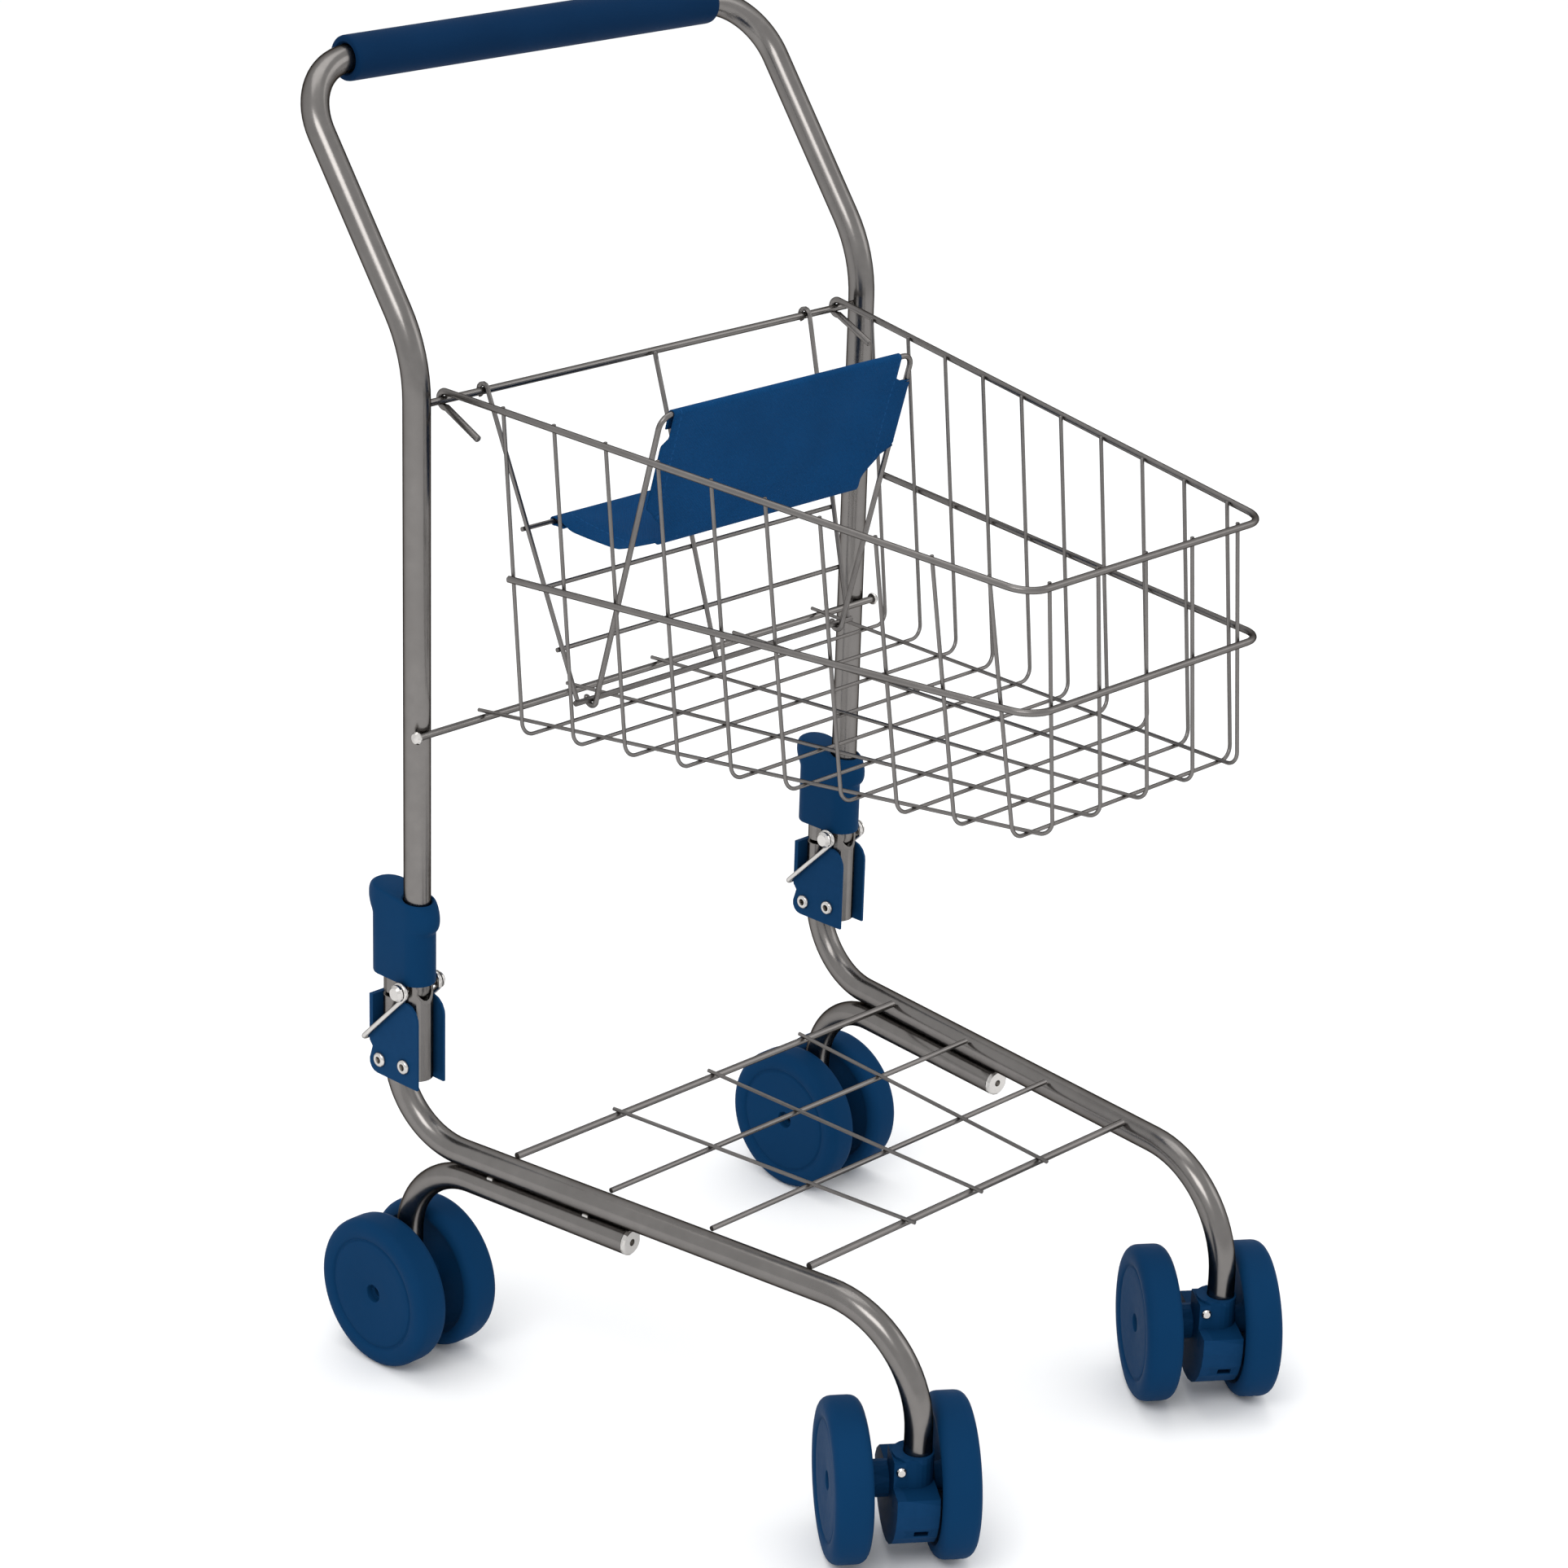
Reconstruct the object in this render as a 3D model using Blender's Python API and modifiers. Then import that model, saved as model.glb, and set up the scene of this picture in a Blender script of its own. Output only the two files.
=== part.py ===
"""A child's wire shopping trolley: a folding frame of bent steel tube, a wire basket with a
rear flap and a doll's seat, twin wheels at the back and twin-wheel casters at the front.

+X is the trolley's width, -Y its nose, +Z up, in metres. Heights are above the floor, and
places along Y are counted from the uprights' axis, which sits at UPRIGHT_Y.
"""

import math

import bmesh
import bpy
from mathutils import Matrix, Vector

MM = 0.001
UPRIGHT_Y = 108.5 * MM
GAP = 0.3 * MM

# Frame tube
TUBE_R = 6 * MM
TUBE_WALL = 1 * MM
UPRIGHT_X = 135 * MM
KNEE_Z = 466.8 * MM
KNEE_BEND = 62 * MM
GRIP_Y = 77.2 * MM
GRIP_Z = 573.8 * MM
GRIP_BEND = 31 * MM
GRIP_HALF = 107 * MM
GRIP_R = 9.75 * MM

# Fold hinge
PIVOT_Z = 182.4 * MM
UPRIGHT_END_Z = PIVOT_Z - 5.5 * MM
LOWER_TUBE_Y = 13.5 * MM
LOWER_TUBE_TOP_Z = PIVOT_Z - 7.4 * MM
BOLT_R = 2 * MM
BOLT_HOLE_R = 2.08 * MM
BOLT_HEAD_X = 11.7 * MM
FLANGE_IN = 7.1 * MM
FLANGE_OUT = 8.3 * MM
BRACKET_FRONT = -9 * MM
BRACKET_REAR = 22.5 * MM
BRACKET_FOOT_Z = 137.5 * MM
RIVETS = ((-0.5 * MM, 146.5 * MM), (15.3 * MM, 144.7 * MM))
RIVET_R = 1.5 * MM
SLEEVE_FOOT_Z = PIVOT_Z + 2.5 * MM
SLEEVE_LIP_Z = 213 * MM
SLEEVE_TOP_Z = 226.3 * MM
SLEEVE_R = 8.2 * MM
SLEEVE_REAR = 17 * MM
SLEEVE_SLOPE = 0.15
LOCK_PIN_FOOT_Z = PIVOT_Z - 5.5 * MM
BAIL_R = 1.2 * MM
BAIL_X = 10 * MM
BAIL_FOOT = (25.5 * MM, PIVOT_Z - 30 * MM)

# Lower frame
RAIL_Z = 109.5 * MM
RAIL_REAR_BEND = 38 * MM
RAIL_FRONT_BEND = 48 * MM
CASTER_X = 100 * MM
CASTER_Y = -271 * MM
LEG_Z = RAIL_Z - 2 * TUBE_R - 0.4 * MM
LEG_FRONT_Y = -118 * MM
LEG_KNEE_Y = 7 * MM
LEG_BEND = 37 * MM
LEG_WELD_Y = (-43 * MM, -97 * MM)
WELD_R = 0.85 * MM
SHELF_BARS = ((-50 * MM, 1.6 * MM), (-102.5 * MM, 1.2 * MM), (-157 * MM, 1.2 * MM), (-208 * MM, 1.6 * MM))
SHELF_TOP_Z = 115.3 * MM
SHELF_WIRE_R = 0.9 * MM
SHELF_WIRE_REAR_X = 60 * MM
SHELF_WIRE_FRONT_X = 43 * MM

# Wheels
WHEEL_Z = 34.9 * MM
WHEEL_SIDES = 24
WHEEL_R = WHEEL_Z / math.cos(math.pi / WHEEL_SIDES)
REAR_AXLE_Y = 8.7 * MM
REAR_WHEEL_X = 14.9 * MM
CASTER_WHEEL_X = 22.4 * MM
AXLE_R = 2.5 * MM
BORE_R = 2.58 * MM
AXLE_REACH = 2 * MM
CASTER_TRAIL = 9 * MM
CASTER_SHIFT = -6.9 * MM
CASTER_TURN = math.radians(-37.5)
HOUSING_TOP_Z = 39.2 * MM
HOUSING_X = (-11 * MM, 6.9 * MM)
HUB_R = 8 * MM
SOCKET_R = 8.9 * MM
SOCKET_TOP_Z = 52.5 * MM
TUBE_FOOT_Z = 44.5 * MM
SOCKET_PIN = (-8.1 * MM, 47 * MM)
LUG_Y = 8 * MM

# Crossbars and basket
BAR_R = 1.6 * MM
UPPER_BAR_Z = 444.8 * MM
LOWER_BAR_Z = 301.9 * MM
LOWER_BAR_Y = -TUBE_R - BAR_R - GAP
LOWER_BAR_HALF = 141 * MM
RIM_R = 1.5 * MM
RIM_REAR_X = 119.2 * MM
RIM_TAPER = 0.163
RIM_SLOPE = 0.0958
RIM_FRONT_Y = -283.5 * MM
RIM_CORNER = 12 * MM
BAND_REAR = (115.6 * MM, -35.3 * MM, 374.2 * MM)
BAND_FRONT = (71.6 * MM, -287.6 * MM, 372 * MM)
CAGE_R = 0.85 * MM
HOOP_COUNT = 10
HOOP_TOP_Y = (-27.8 * MM, -263.2 * MM)
HOOP_FOOT = ((113.2 * MM, -42.8 * MM), (68.7 * MM, -278 * MM))
HOOP_CORNER = 6 * MM
FLOOR_SLOPE = 0.0505
FLOOR_WIRE_REAR_Y = -4.5 * MM
FLOOR_WIRE_REAR_X = 52 * MM
FLOOR_WIRE_FRONT_X = 29.2 * MM
FLOOR_WIRE_FRONT_Y = -289.6 * MM
WELD = 0.4 * MM

# Rear flap and doll's seat
FLAP_R = 1.1 * MM
FLAP_TOP_X = 97.7 * MM
FLAP_FOOT_X = 84 * MM
FLAP_FOOT = (-46 * MM, 314.5 * MM)
FLAP_ROD_R = 1.3 * MM
FLAP_BARS_Z = (387.7 * MM, 362.7 * MM, 336.8 * MM)
SEAT_WIRE_R = 1.25 * MM
SEAT_X = 76.5 * MM
SEAT_TOP = (-85 * MM, 448.2 * MM)
SEAT_Z = 387.7 * MM
CLOTH = 1.5 * MM

STEEL = ("zinc_plated_steel", (0.50, 0.49, 0.48), 0.32, 1.0)
WIRE_STEEL = ("zinc_plated_wire", (0.40, 0.39, 0.38), 0.35, 1.0)
BLUE_PLASTIC = ("blue_plastic", (0.0065, 0.041, 0.12), 0.38, 0.0)
BLUE_FABRIC = ("blue_fabric", (0.007, 0.05, 0.14), 0.85, 0.0)


def clear_scene():
    for obj in list(bpy.data.objects):
        bpy.data.objects.remove(obj)


def material(spec):
    name, colour, roughness, metallic = spec
    made = bpy.data.materials.get(name) or bpy.data.materials.new(name)
    made.use_nodes = True
    shader = made.node_tree.nodes["Principled BSDF"]
    shader.inputs["Base Color"].default_value = (*colour, 1)
    shader.inputs["Roughness"].default_value = roughness
    shader.inputs["Metallic"].default_value = metallic
    return made


def add(name, mesh, spec=None):
    """Puts a mesh in the scene as an object; with a material it is a part, without one a helper."""
    obj = bpy.data.objects.new(name, mesh)
    trolley.objects.link(obj)
    if spec:
        obj.data.name = name
        obj.data.materials.clear()
        obj.data.materials.append(material(spec))
        obj.parent = root
    return obj


def baked(obj):
    """The object's evaluated mesh, with doubled points welded, and the object removed."""
    graph = bpy.context.evaluated_depsgraph_get()
    mesh = bpy.data.meshes.new_from_object(obj.evaluated_get(graph))
    mesh.transform(obj.matrix_world)
    bpy.data.objects.remove(obj)
    work = bmesh.new()
    work.from_mesh(mesh)
    bmesh.ops.remove_doubles(work, verts=work.verts, dist=1e-6)
    bmesh.ops.recalc_face_normals(work, faces=work.faces)
    work.to_mesh(mesh)
    work.free()
    return mesh


def finish(name, mesh, spec, pivot=(0, 0, 0)):
    """A finished part, with its origin on its joint's axis."""
    pivot = Vector(pivot)
    mesh.transform(Matrix.Translation(-pivot))
    mesh.shade_smooth()
    mesh.set_sharp_from_angle(angle=math.radians(35))
    obj = add(name, mesh, spec)
    obj.location = pivot
    return obj


def combined(mesh, other, operation):
    """One mesh joined with, cut by or kept inside another."""
    body = add("body", mesh)
    tool = add("tool", other)
    modifier = body.modifiers.new(operation, "BOOLEAN")
    modifier.operation = operation
    modifier.object = tool
    bpy.context.view_layer.update()
    result = baked(body)
    bpy.data.objects.remove(tool)
    return result


def rounded_path(corners, radii, arc_step=math.radians(20)):
    """Straight runs joined by arcs. radii gives the bend at each inner corner."""
    points = [Vector(corners[0])]
    for before, corner, after, radius in zip(corners, corners[1:], corners[2:], radii):
        corner = Vector(corner)
        back = (Vector(before) - corner).normalized()
        ahead = (Vector(after) - corner).normalized()
        turn = math.pi - back.angle(ahead)
        reach = radius * math.tan(turn / 2)
        centre = corner + (back + ahead).normalized() * radius / math.cos(turn / 2)
        start = corner + back * reach - centre
        normal = start.cross(corner + ahead * reach - centre).normalized()
        steps = max(2, math.ceil(turn / arc_step))
        for step in range(steps + 1):
            points.append(centre + Matrix.Rotation(turn * step / steps, 3, normal) @ start)
    points.append(Vector(corners[-1]))
    return points


def hook(x, y, z, radius, start, end, steps=8):
    """Points on an arc in the plane of Y and Z around a bar; 0 degrees is +Y and 90 is up."""
    angles = [math.radians(start + (end - start) * step / steps) for step in range(steps + 1)]
    return [Vector((x, y + radius * math.cos(a), z + radius * math.sin(a))) for a in angles]


def mirrored(points):
    """The same path on the other side, running back."""
    return [Vector((-p.x, p.y, p.z)) for p in reversed(points)]


def wire(points, radius, resolution=2, caps=True):
    """A round bar along a path, as a mesh."""
    curve = bpy.data.curves.new("wire", "CURVE")
    curve.dimensions = "3D"
    curve.bevel_depth = radius
    curve.bevel_resolution = resolution
    curve.use_fill_caps = caps
    spline = curve.splines.new("POLY")
    spline.points.add(len(points) - 1)
    for point, place in zip(spline.points, points):
        point.co = (*place, 1)
    obj = bpy.data.objects.new("wire", curve)
    trolley.objects.link(obj)
    bpy.context.view_layer.update()
    return baked(obj)


def tube(points, radius=TUBE_R, wall=TUBE_WALL):
    """A hollow tube with open ends."""
    obj = add("tube", wire(points, radius, resolution=3, caps=False))
    shell = obj.modifiers.new("wall", "SOLIDIFY")
    shell.thickness = wall
    shell.offset = -1
    bpy.context.view_layer.update()
    return baked(obj)


def turned(profile, steps=20, closed=False):
    """A profile of (radius, height) points turned about Z."""
    work = bmesh.new()
    points = [work.verts.new((radius, 0, height)) for radius, height in profile]
    pairs = list(zip(points, points[1:]))
    if closed:
        pairs.append((points[-1], points[0]))
    edges = [work.edges.new(pair) for pair in pairs]
    bmesh.ops.spin(work, geom=points + edges, cent=(0, 0, 0), axis=(0, 0, 1),
                   angle=2 * math.pi, steps=steps, use_merge=True)
    bmesh.ops.remove_doubles(work, verts=work.verts, dist=1e-6)
    bmesh.ops.recalc_face_normals(work, faces=work.faces)
    mesh = bpy.data.meshes.new("turned")
    work.to_mesh(mesh)
    work.free()
    return mesh


def placed(mesh, place, axis=(0, 0, 1), turn=0.0):
    """The mesh turned about Z by an angle, its Z laid along an axis, then moved to a place."""
    lay = Vector((0, 0, 1)).rotation_difference(Vector(axis)).to_matrix().to_4x4()
    mesh.transform(Matrix.Translation(Vector(place)) @ lay @ Matrix.Rotation(turn, 4, "Z"))
    return mesh


def rod(place, axis, radius, half, steps=16):
    """A plain cylinder centred on a place."""
    return placed(turned([(0, -half), (radius, -half), (radius, half), (0, half)], steps), place, axis)


def drilled(mesh, place, axis, radius, half=30 * MM):
    return combined(mesh, rod(place, axis, radius, half), "DIFFERENCE")


def box(low, high):
    work = bmesh.new()
    bmesh.ops.create_cube(work, size=1)
    size = Vector(high) - Vector(low)
    bmesh.ops.scale(work, vec=size, verts=work.verts)
    bmesh.ops.translate(work, vec=(Vector(high) + Vector(low)) / 2, verts=work.verts)
    mesh = bpy.data.meshes.new("box")
    work.to_mesh(mesh)
    work.free()
    return mesh


def plate(outline, x, half):
    """A flat outline of (y, z) points, 2 x half thick, centred on x."""
    curve = bpy.data.curves.new("plate", "CURVE")
    curve.dimensions = "2D"
    curve.fill_mode = "BOTH"
    curve.extrude = half
    spline = curve.splines.new("POLY")
    spline.points.add(len(outline) - 1)
    spline.use_cyclic_u = True
    for point, (y, z) in zip(spline.points, outline):
        point.co = (y, z, 0, 1)
    obj = bpy.data.objects.new("plate", curve)
    trolley.objects.link(obj)
    across = Matrix(((0, 0, 1, 0), (1, 0, 0, 0), (0, 1, 0, 0), (0, 0, 0, 1)))
    obj.matrix_world = Matrix.Translation((x, 0, 0)) @ across
    bpy.context.view_layer.update()
    return baked(obj)


def arc(centre, radius, start, end, steps=6):
    """(y, z) points on an arc, for an outline."""
    angles = [math.radians(start + (end - start) * step / steps) for step in range(steps + 1)]
    return [(centre[0] + radius * math.cos(a), centre[1] + radius * math.sin(a)) for a in angles]


def rail_x(y):
    """Half the distance between the rails, which draw together towards the nose."""
    share = (LOWER_TUBE_Y - y) / (LOWER_TUBE_Y - CASTER_Y)
    return UPRIGHT_X + (CASTER_X - UPRIGHT_X) * share


def rim_x(y):
    return RIM_REAR_X + RIM_TAPER * y


def rim_z(y):
    return UPPER_BAR_Z + BAR_R + RIM_R + GAP + RIM_SLOPE * y


def floor_z(y):
    """Height of the basket's lengthwise floor wires, which rest on the lower crossbar."""
    over_bar = LOWER_BAR_Z + BAR_R + CAGE_R + 2 * GAP
    return over_bar - FLOOR_SLOPE * (y - LOWER_BAR_Y)


def flap_y(z):
    share = (UPPER_BAR_Z - z) / (UPPER_BAR_Z - FLAP_FOOT[1])
    top = -BAR_R - GAP - FLAP_R
    return top + (FLAP_FOOT[0] - top) * share


def flap_x(z):
    share = (UPPER_BAR_Z - z) / (UPPER_BAR_Z - FLAP_FOOT[1])
    return FLAP_TOP_X + (FLAP_FOOT_X - FLAP_TOP_X) * share


# Upper frame


def handle_tube():
    """The bent tube, its two feet rounded so that they turn inside the hinge channels."""
    leg = [(-UPRIGHT_X, 0, UPRIGHT_END_Z), (-UPRIGHT_X, 0, KNEE_Z), (-UPRIGHT_X, GRIP_Y, GRIP_Z)]
    corners = leg + [(-x, y, z) for x, y, z in reversed(leg)]
    mesh = tube(rounded_path(corners, (KNEE_BEND, GRIP_BEND, GRIP_BEND, KNEE_BEND)))
    ball = TUBE_R + 0.05 * MM
    profile = [(0, -2 * ball), (2 * ball, -2 * ball), (2 * ball, 0)] + arc((0, 0), ball, 0, -90, 8)
    for side in (-1, 1):
        foot = placed(turned(profile, 24), (side * UPRIGHT_X, 0, PIVOT_Z))
        mesh = combined(mesh, foot, "DIFFERENCE")
        mesh = drilled(mesh, (side * UPRIGHT_X, 0, PIVOT_Z), (1, 0, 0), BOLT_HOLE_R)
    finish("handle_tube", mesh, STEEL)


def handle_grip():
    bore = TUBE_R + GAP
    end = GRIP_HALF
    profile = [(bore, -end + MM), (bore + 1.2 * MM, -end), (GRIP_R - 1.6 * MM, -end),
               (GRIP_R - 0.4 * MM, -end + MM), (GRIP_R, -end + 3 * MM)]
    profile += [(radius, -height) for radius, height in reversed(profile)]
    mesh = placed(turned(profile, 20, closed=True), (0, GRIP_Y, GRIP_Z), (1, 0, 0))
    finish("handle_grip", mesh, BLUE_PLASTIC)


def crossbars():
    half = UPRIGHT_X - TUBE_R - GAP
    finish("upper_crossbar", rod((0, 0, UPPER_BAR_Z), (1, 0, 0), BAR_R, half), STEEL)
    finish("lower_crossbar", rod((0, LOWER_BAR_Y, LOWER_BAR_Z), (1, 0, 0), BAR_R, LOWER_BAR_HALF), STEEL)
    for side, name in SIDES:
        head = turned([(0, 0), (2.6 * MM, 0), (2.9 * MM, 0.8 * MM), (2.2 * MM, 2 * MM), (0, 2.4 * MM)], 16)
        place = (side * (LOWER_BAR_HALF + GAP), LOWER_BAR_Y, LOWER_BAR_Z)
        finish(f"crossbar_screw_{name}", placed(head, place, (side, 0, 0)), STEEL)


def two_headed(shank, half, head, thickness, steps=16):
    """A bolt or rivet with a domed head at each end, along Z."""
    top = half + thickness
    end = [(head, half), (head, half + 0.4 * thickness), (0.7 * head, top), (0, top)]
    profile = [(shank, half)] + end
    return turned([(r, -z) for r, z in reversed(profile)] + profile, steps)


def pivot_bolt(side, name):
    mesh = placed(two_headed(BOLT_R, BOLT_HEAD_X, 4 * MM, 2 * MM), (side * UPRIGHT_X, 0, PIVOT_Z), (1, 0, 0))
    finish(f"pivot_bolt_{name}", mesh, STEEL)


def sleeve_outline(offset, z, tilt):
    """A long oval with its two ends drawn out by an offset, or all of it drawn in by a negative one."""
    half = SLEEVE_R + min(offset, 0)
    points = []
    for centre, start in ((SLEEVE_REAR, -90), (0, 90)):
        for along, across in arc((0, 0), 1, start, start + 180, 7):
            y = centre + (SLEEVE_R + offset) * along
            points.append((half * across, y, z + tilt * SLEEVE_SLOPE * (y - SLEEVE_REAR)))
    return points


def loft(loops):
    """A closed skin through loops of the same number of points, capped at both ends."""
    work = bmesh.new()
    rings = [[work.verts.new(point) for point in loop] for loop in loops]
    for below, above in zip(rings, rings[1:]):
        for i in range(len(below)):
            j = (i + 1) % len(below)
            work.faces.new((below[i], below[j], above[j], above[i]))
    work.faces.new(rings[0])
    work.faces.new(rings[-1])
    bmesh.ops.recalc_face_normals(work, faces=work.faces)
    mesh = bpy.data.meshes.new("loft")
    work.to_mesh(mesh)
    work.free()
    return mesh


def lock_sleeve(side, name):
    """A sliding oval sleeve with a finger knob at each end, round the upright and the pin that locks it."""
    lip, bulge = SLEEVE_LIP_Z, 3.5 * MM
    levels = [(-0.8 * MM, SLEEVE_FOOT_Z), (0, SLEEVE_FOOT_Z + MM), (0, lip - 0.5 * MM),
              (0.5 * bulge, lip + 1.5 * MM), (0.93 * bulge, lip + 4.5 * MM), (bulge, lip + 7.5 * MM),
              (0.7 * bulge, lip + 10.5 * MM), (0, SLEEVE_TOP_Z - 0.5 * MM), (-1.5 * MM, SLEEVE_TOP_Z)]
    mesh = loft([sleeve_outline(offset, z, z > lip - MM) for offset, z in levels])
    mesh = drilled(mesh, (0, 0, SLEEVE_LIP_Z), (0, 0, 1), TUBE_R + 0.4 * MM, 40 * MM)
    socket_top = PIVOT_Z + 7 * MM
    mesh = drilled(mesh, (0, 0, socket_top - 10 * MM), (0, 0, 1), FLANGE_IN, 10 * MM)
    socket = box((-FLANGE_IN, 0, PIVOT_Z), (FLANGE_IN, FLANGE_IN - 0.6 * MM, socket_top + 0.1 * MM))
    mesh = combined(mesh, socket, "DIFFERENCE")
    mesh = drilled(mesh, (0, LOWER_TUBE_Y, PIVOT_Z), (0, 0, 1), TUBE_R + 0.3 * MM, 30 * MM)
    place = (side * UPRIGHT_X, 0, 0)
    finish(f"lock_sleeve_{name}", placed(mesh, place), BLUE_PLASTIC, (side * UPRIGHT_X, 0, PIVOT_Z))
    half = (PIVOT_Z + 29.5 * MM - LOCK_PIN_FOOT_Z) / 2
    pin = rod((side * UPRIGHT_X, LOWER_TUBE_Y, LOCK_PIN_FOOT_Z + half), (0, 0, 1), TUBE_R - 0.1 * MM, half)
    finish(f"lock_pin_{name}", pin, STEEL, (side * UPRIGHT_X, LOWER_TUBE_Y, PIVOT_Z))


def bail(side, name):
    """A wire bail that hangs on the pivot bolt and passes behind the bracket."""
    centre = side * UPRIGHT_X
    ring = hook(-BAIL_X, 0, PIVOT_Z, BOLT_R + BAIL_R + GAP, -409.6, -139.6)
    corners = [ring[-1], (-BAIL_X, *BAIL_FOOT), (BAIL_X, *BAIL_FOOT), (BAIL_X, *ring[-1].yz)]
    arms = rounded_path(corners, (3 * MM, 3 * MM), math.radians(30))
    path = ring + arms[1:-1] + mirrored(ring)
    mesh = wire([Vector((p.x + centre, p.y, p.z)) for p in path], BAIL_R, resolution=1)
    finish(f"bail_{name}", mesh, WIRE_STEEL, (centre, 0, PIVOT_Z))


# Lower frame


def hinge_channel(side, name):
    """The round-fronted steel channel in the bracket. Its two ears carry the pivot bolt."""
    outer, inner = FLANGE_IN - 0.2 * MM, TUBE_R + 0.2 * MM
    front, web_top, ear = -outer - MM, PIVOT_Z - 9 * MM, 5.2 * MM
    section = [(x, y) for y, x in arc((0, 0), outer, 90, 270, 12)] + [(-outer, 2 * ear), (-inner, 2 * ear)]
    section += [(x, y) for y, x in arc((0, 0), inner, 270, 90, 12)] + [(inner, 2 * ear), (outer, 2 * ear)]
    mesh = loft([[(x, y, z) for x, y in section] for z in (BRACKET_FOOT_Z + 2 * MM, PIVOT_Z + 2 * ear)])
    outline = [(front, 0), (front, web_top)] + arc((0, PIVOT_Z), ear, 200, -10, 8) + [(ear, 0)]
    mesh = combined(mesh, plate(outline, 0, 20 * MM), "INTERSECT")
    mesh = drilled(mesh, (0, 0, PIVOT_Z), (1, 0, 0), BOLT_HOLE_R)
    mesh = drilled(mesh, (0, *RIVETS[0]), (1, 0, 0), RIVET_R + 0.2 * MM)
    finish(f"hinge_channel_{name}", placed(mesh, (side * UPRIGHT_X, 0, 0)), STEEL)


def hinge_bracket(side, name):
    """The blue U bracket round the channel and the lower tube, its wall at the back."""
    foot, top, back = BRACKET_FOOT_Z, PIVOT_Z - 5.2 * MM, BRACKET_REAR
    wall_top = PIVOT_Z - 8 * MM
    outline = [(BRACKET_FRONT, foot), (BRACKET_FRONT, top - 8 * MM)]
    outline += arc((BRACKET_FRONT + 8 * MM, top - 8 * MM), 8 * MM, 165, 50, 5)
    outline += [(17.4 * MM, 159.3 * MM), (back - 2.3 * MM, 159.3 * MM), (back - 2.3 * MM, wall_top)]
    outline += [(back, wall_top), (back, 152 * MM), (back - 2 * MM, 149.5 * MM)]
    outline += arc((back - 5 * MM, foot + 5 * MM), 5 * MM, 10, -90, 4)
    mesh = box((-FLANGE_OUT, BRACKET_FRONT, foot), (FLANGE_OUT, back, top + MM))
    room = box((-FLANGE_IN, BRACKET_FRONT - MM, 0), (FLANGE_IN, back - 2.3 * MM, 300 * MM))
    mesh = combined(mesh, room, "DIFFERENCE")
    mesh = combined(mesh, plate(outline, 0, 20 * MM), "INTERSECT")
    for rivet in RIVETS:
        mesh = drilled(mesh, (0, *rivet), (1, 0, 0), RIVET_R + 0.2 * MM)
    finish(f"hinge_bracket_{name}", placed(mesh, (side * UPRIGHT_X, 0, 0)), BLUE_PLASTIC)


def bracket_rivets(side, name):
    """Hollow rivets, each with a dimple in its ring-shaped heads."""
    face = FLANGE_OUT + GAP
    end = [(RIVET_R, face), (3.4 * MM, face), (2.6 * MM, face + 1.5 * MM), (1.7 * MM, face + 1.3 * MM),
           (0, face + 0.2 * MM)]
    profile = [(r, -z) for r, z in reversed(end)] + end
    for (y, z), which in zip(RIVETS, ("front", "rear")):
        mesh = placed(turned(profile, 12), (side * UPRIGHT_X, y, z), (1, 0, 0))
        finish(f"bracket_rivet_{which}_{name}", mesh, STEEL)


def side_tube(side, name):
    """The tube that runs down from the hinge, forward as a rail and down to the caster."""
    rear, front = side * UPRIGHT_X, side * CASTER_X
    corners = [(rear, LOWER_TUBE_Y, LOWER_TUBE_TOP_Z), (rear, LOWER_TUBE_Y, RAIL_Z),
               (front, CASTER_Y, RAIL_Z), (front, CASTER_Y, TUBE_FOOT_Z)]
    mesh = tube(rounded_path(corners, (RAIL_REAR_BEND, RAIL_FRONT_BEND)))
    mesh = drilled(mesh, (rear, *RIVETS[1]), (1, 0, 0), RIVET_R + 0.2 * MM)
    finish(f"side_tube_{name}", mesh, STEEL)


def rear_leg(side, name):
    """The tube under the rail that bends down to the rear axle, with its end cap and weld beads."""
    ahead = Vector((side * rail_x(LEG_FRONT_Y), LEG_FRONT_Y, LEG_Z))
    knee = Vector((side * AXLE_X, LEG_KNEE_Y, LEG_Z))
    axle = Vector((side * AXLE_X, REAR_AXLE_Y, WHEEL_Z))
    foot = axle + (axle - knee).normalized() * 8 * MM
    mesh = tube(rounded_path([ahead, knee, foot], [LEG_BEND]))
    mesh = drilled(mesh, axle, (1, 0, 0), BORE_R)
    for which, y in zip(("rear", "front"), LEG_WELD_Y):
        rail = Vector((side * rail_x(y), y, RAIL_Z))
        leg = ahead.lerp(knee, (y - ahead.y) / (knee.y - ahead.y))
        across = (rail - leg) / 2
        out = Vector((side * across.z, 0, -side * across.x)).normalized()
        reach = math.sqrt((TUBE_R + WELD_R + 0.02 * MM) ** 2 - across.length ** 2)
        bead = rod((rail + leg) / 2 + out * reach, ahead - knee, WELD_R, 1.5 * MM, 10)
        finish(f"leg_weld_{which}_{name}", bead, STEEL)
    finish(f"rear_leg_{name}", mesh, STEEL)
    inside = TUBE_R - TUBE_WALL - GAP
    profile = [(0, -6), (inside / MM, -6), (inside / MM, 0.3), (6, 0.3), (6, 1.3), (5.2, 2), (1.6, 2),
               (1.6, -1), (0, -1)]
    cap = turned([(r * MM, z * MM) for r, z in profile], 16)
    finish(f"leg_cap_{name}", placed(cap, ahead, ahead - knee), STEEL)
    half = REAR_WHEEL_X + AXLE_REACH
    finish(f"rear_axle_{name}", rod(axle, (1, 0, 0), AXLE_R, half), STEEL)


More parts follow.
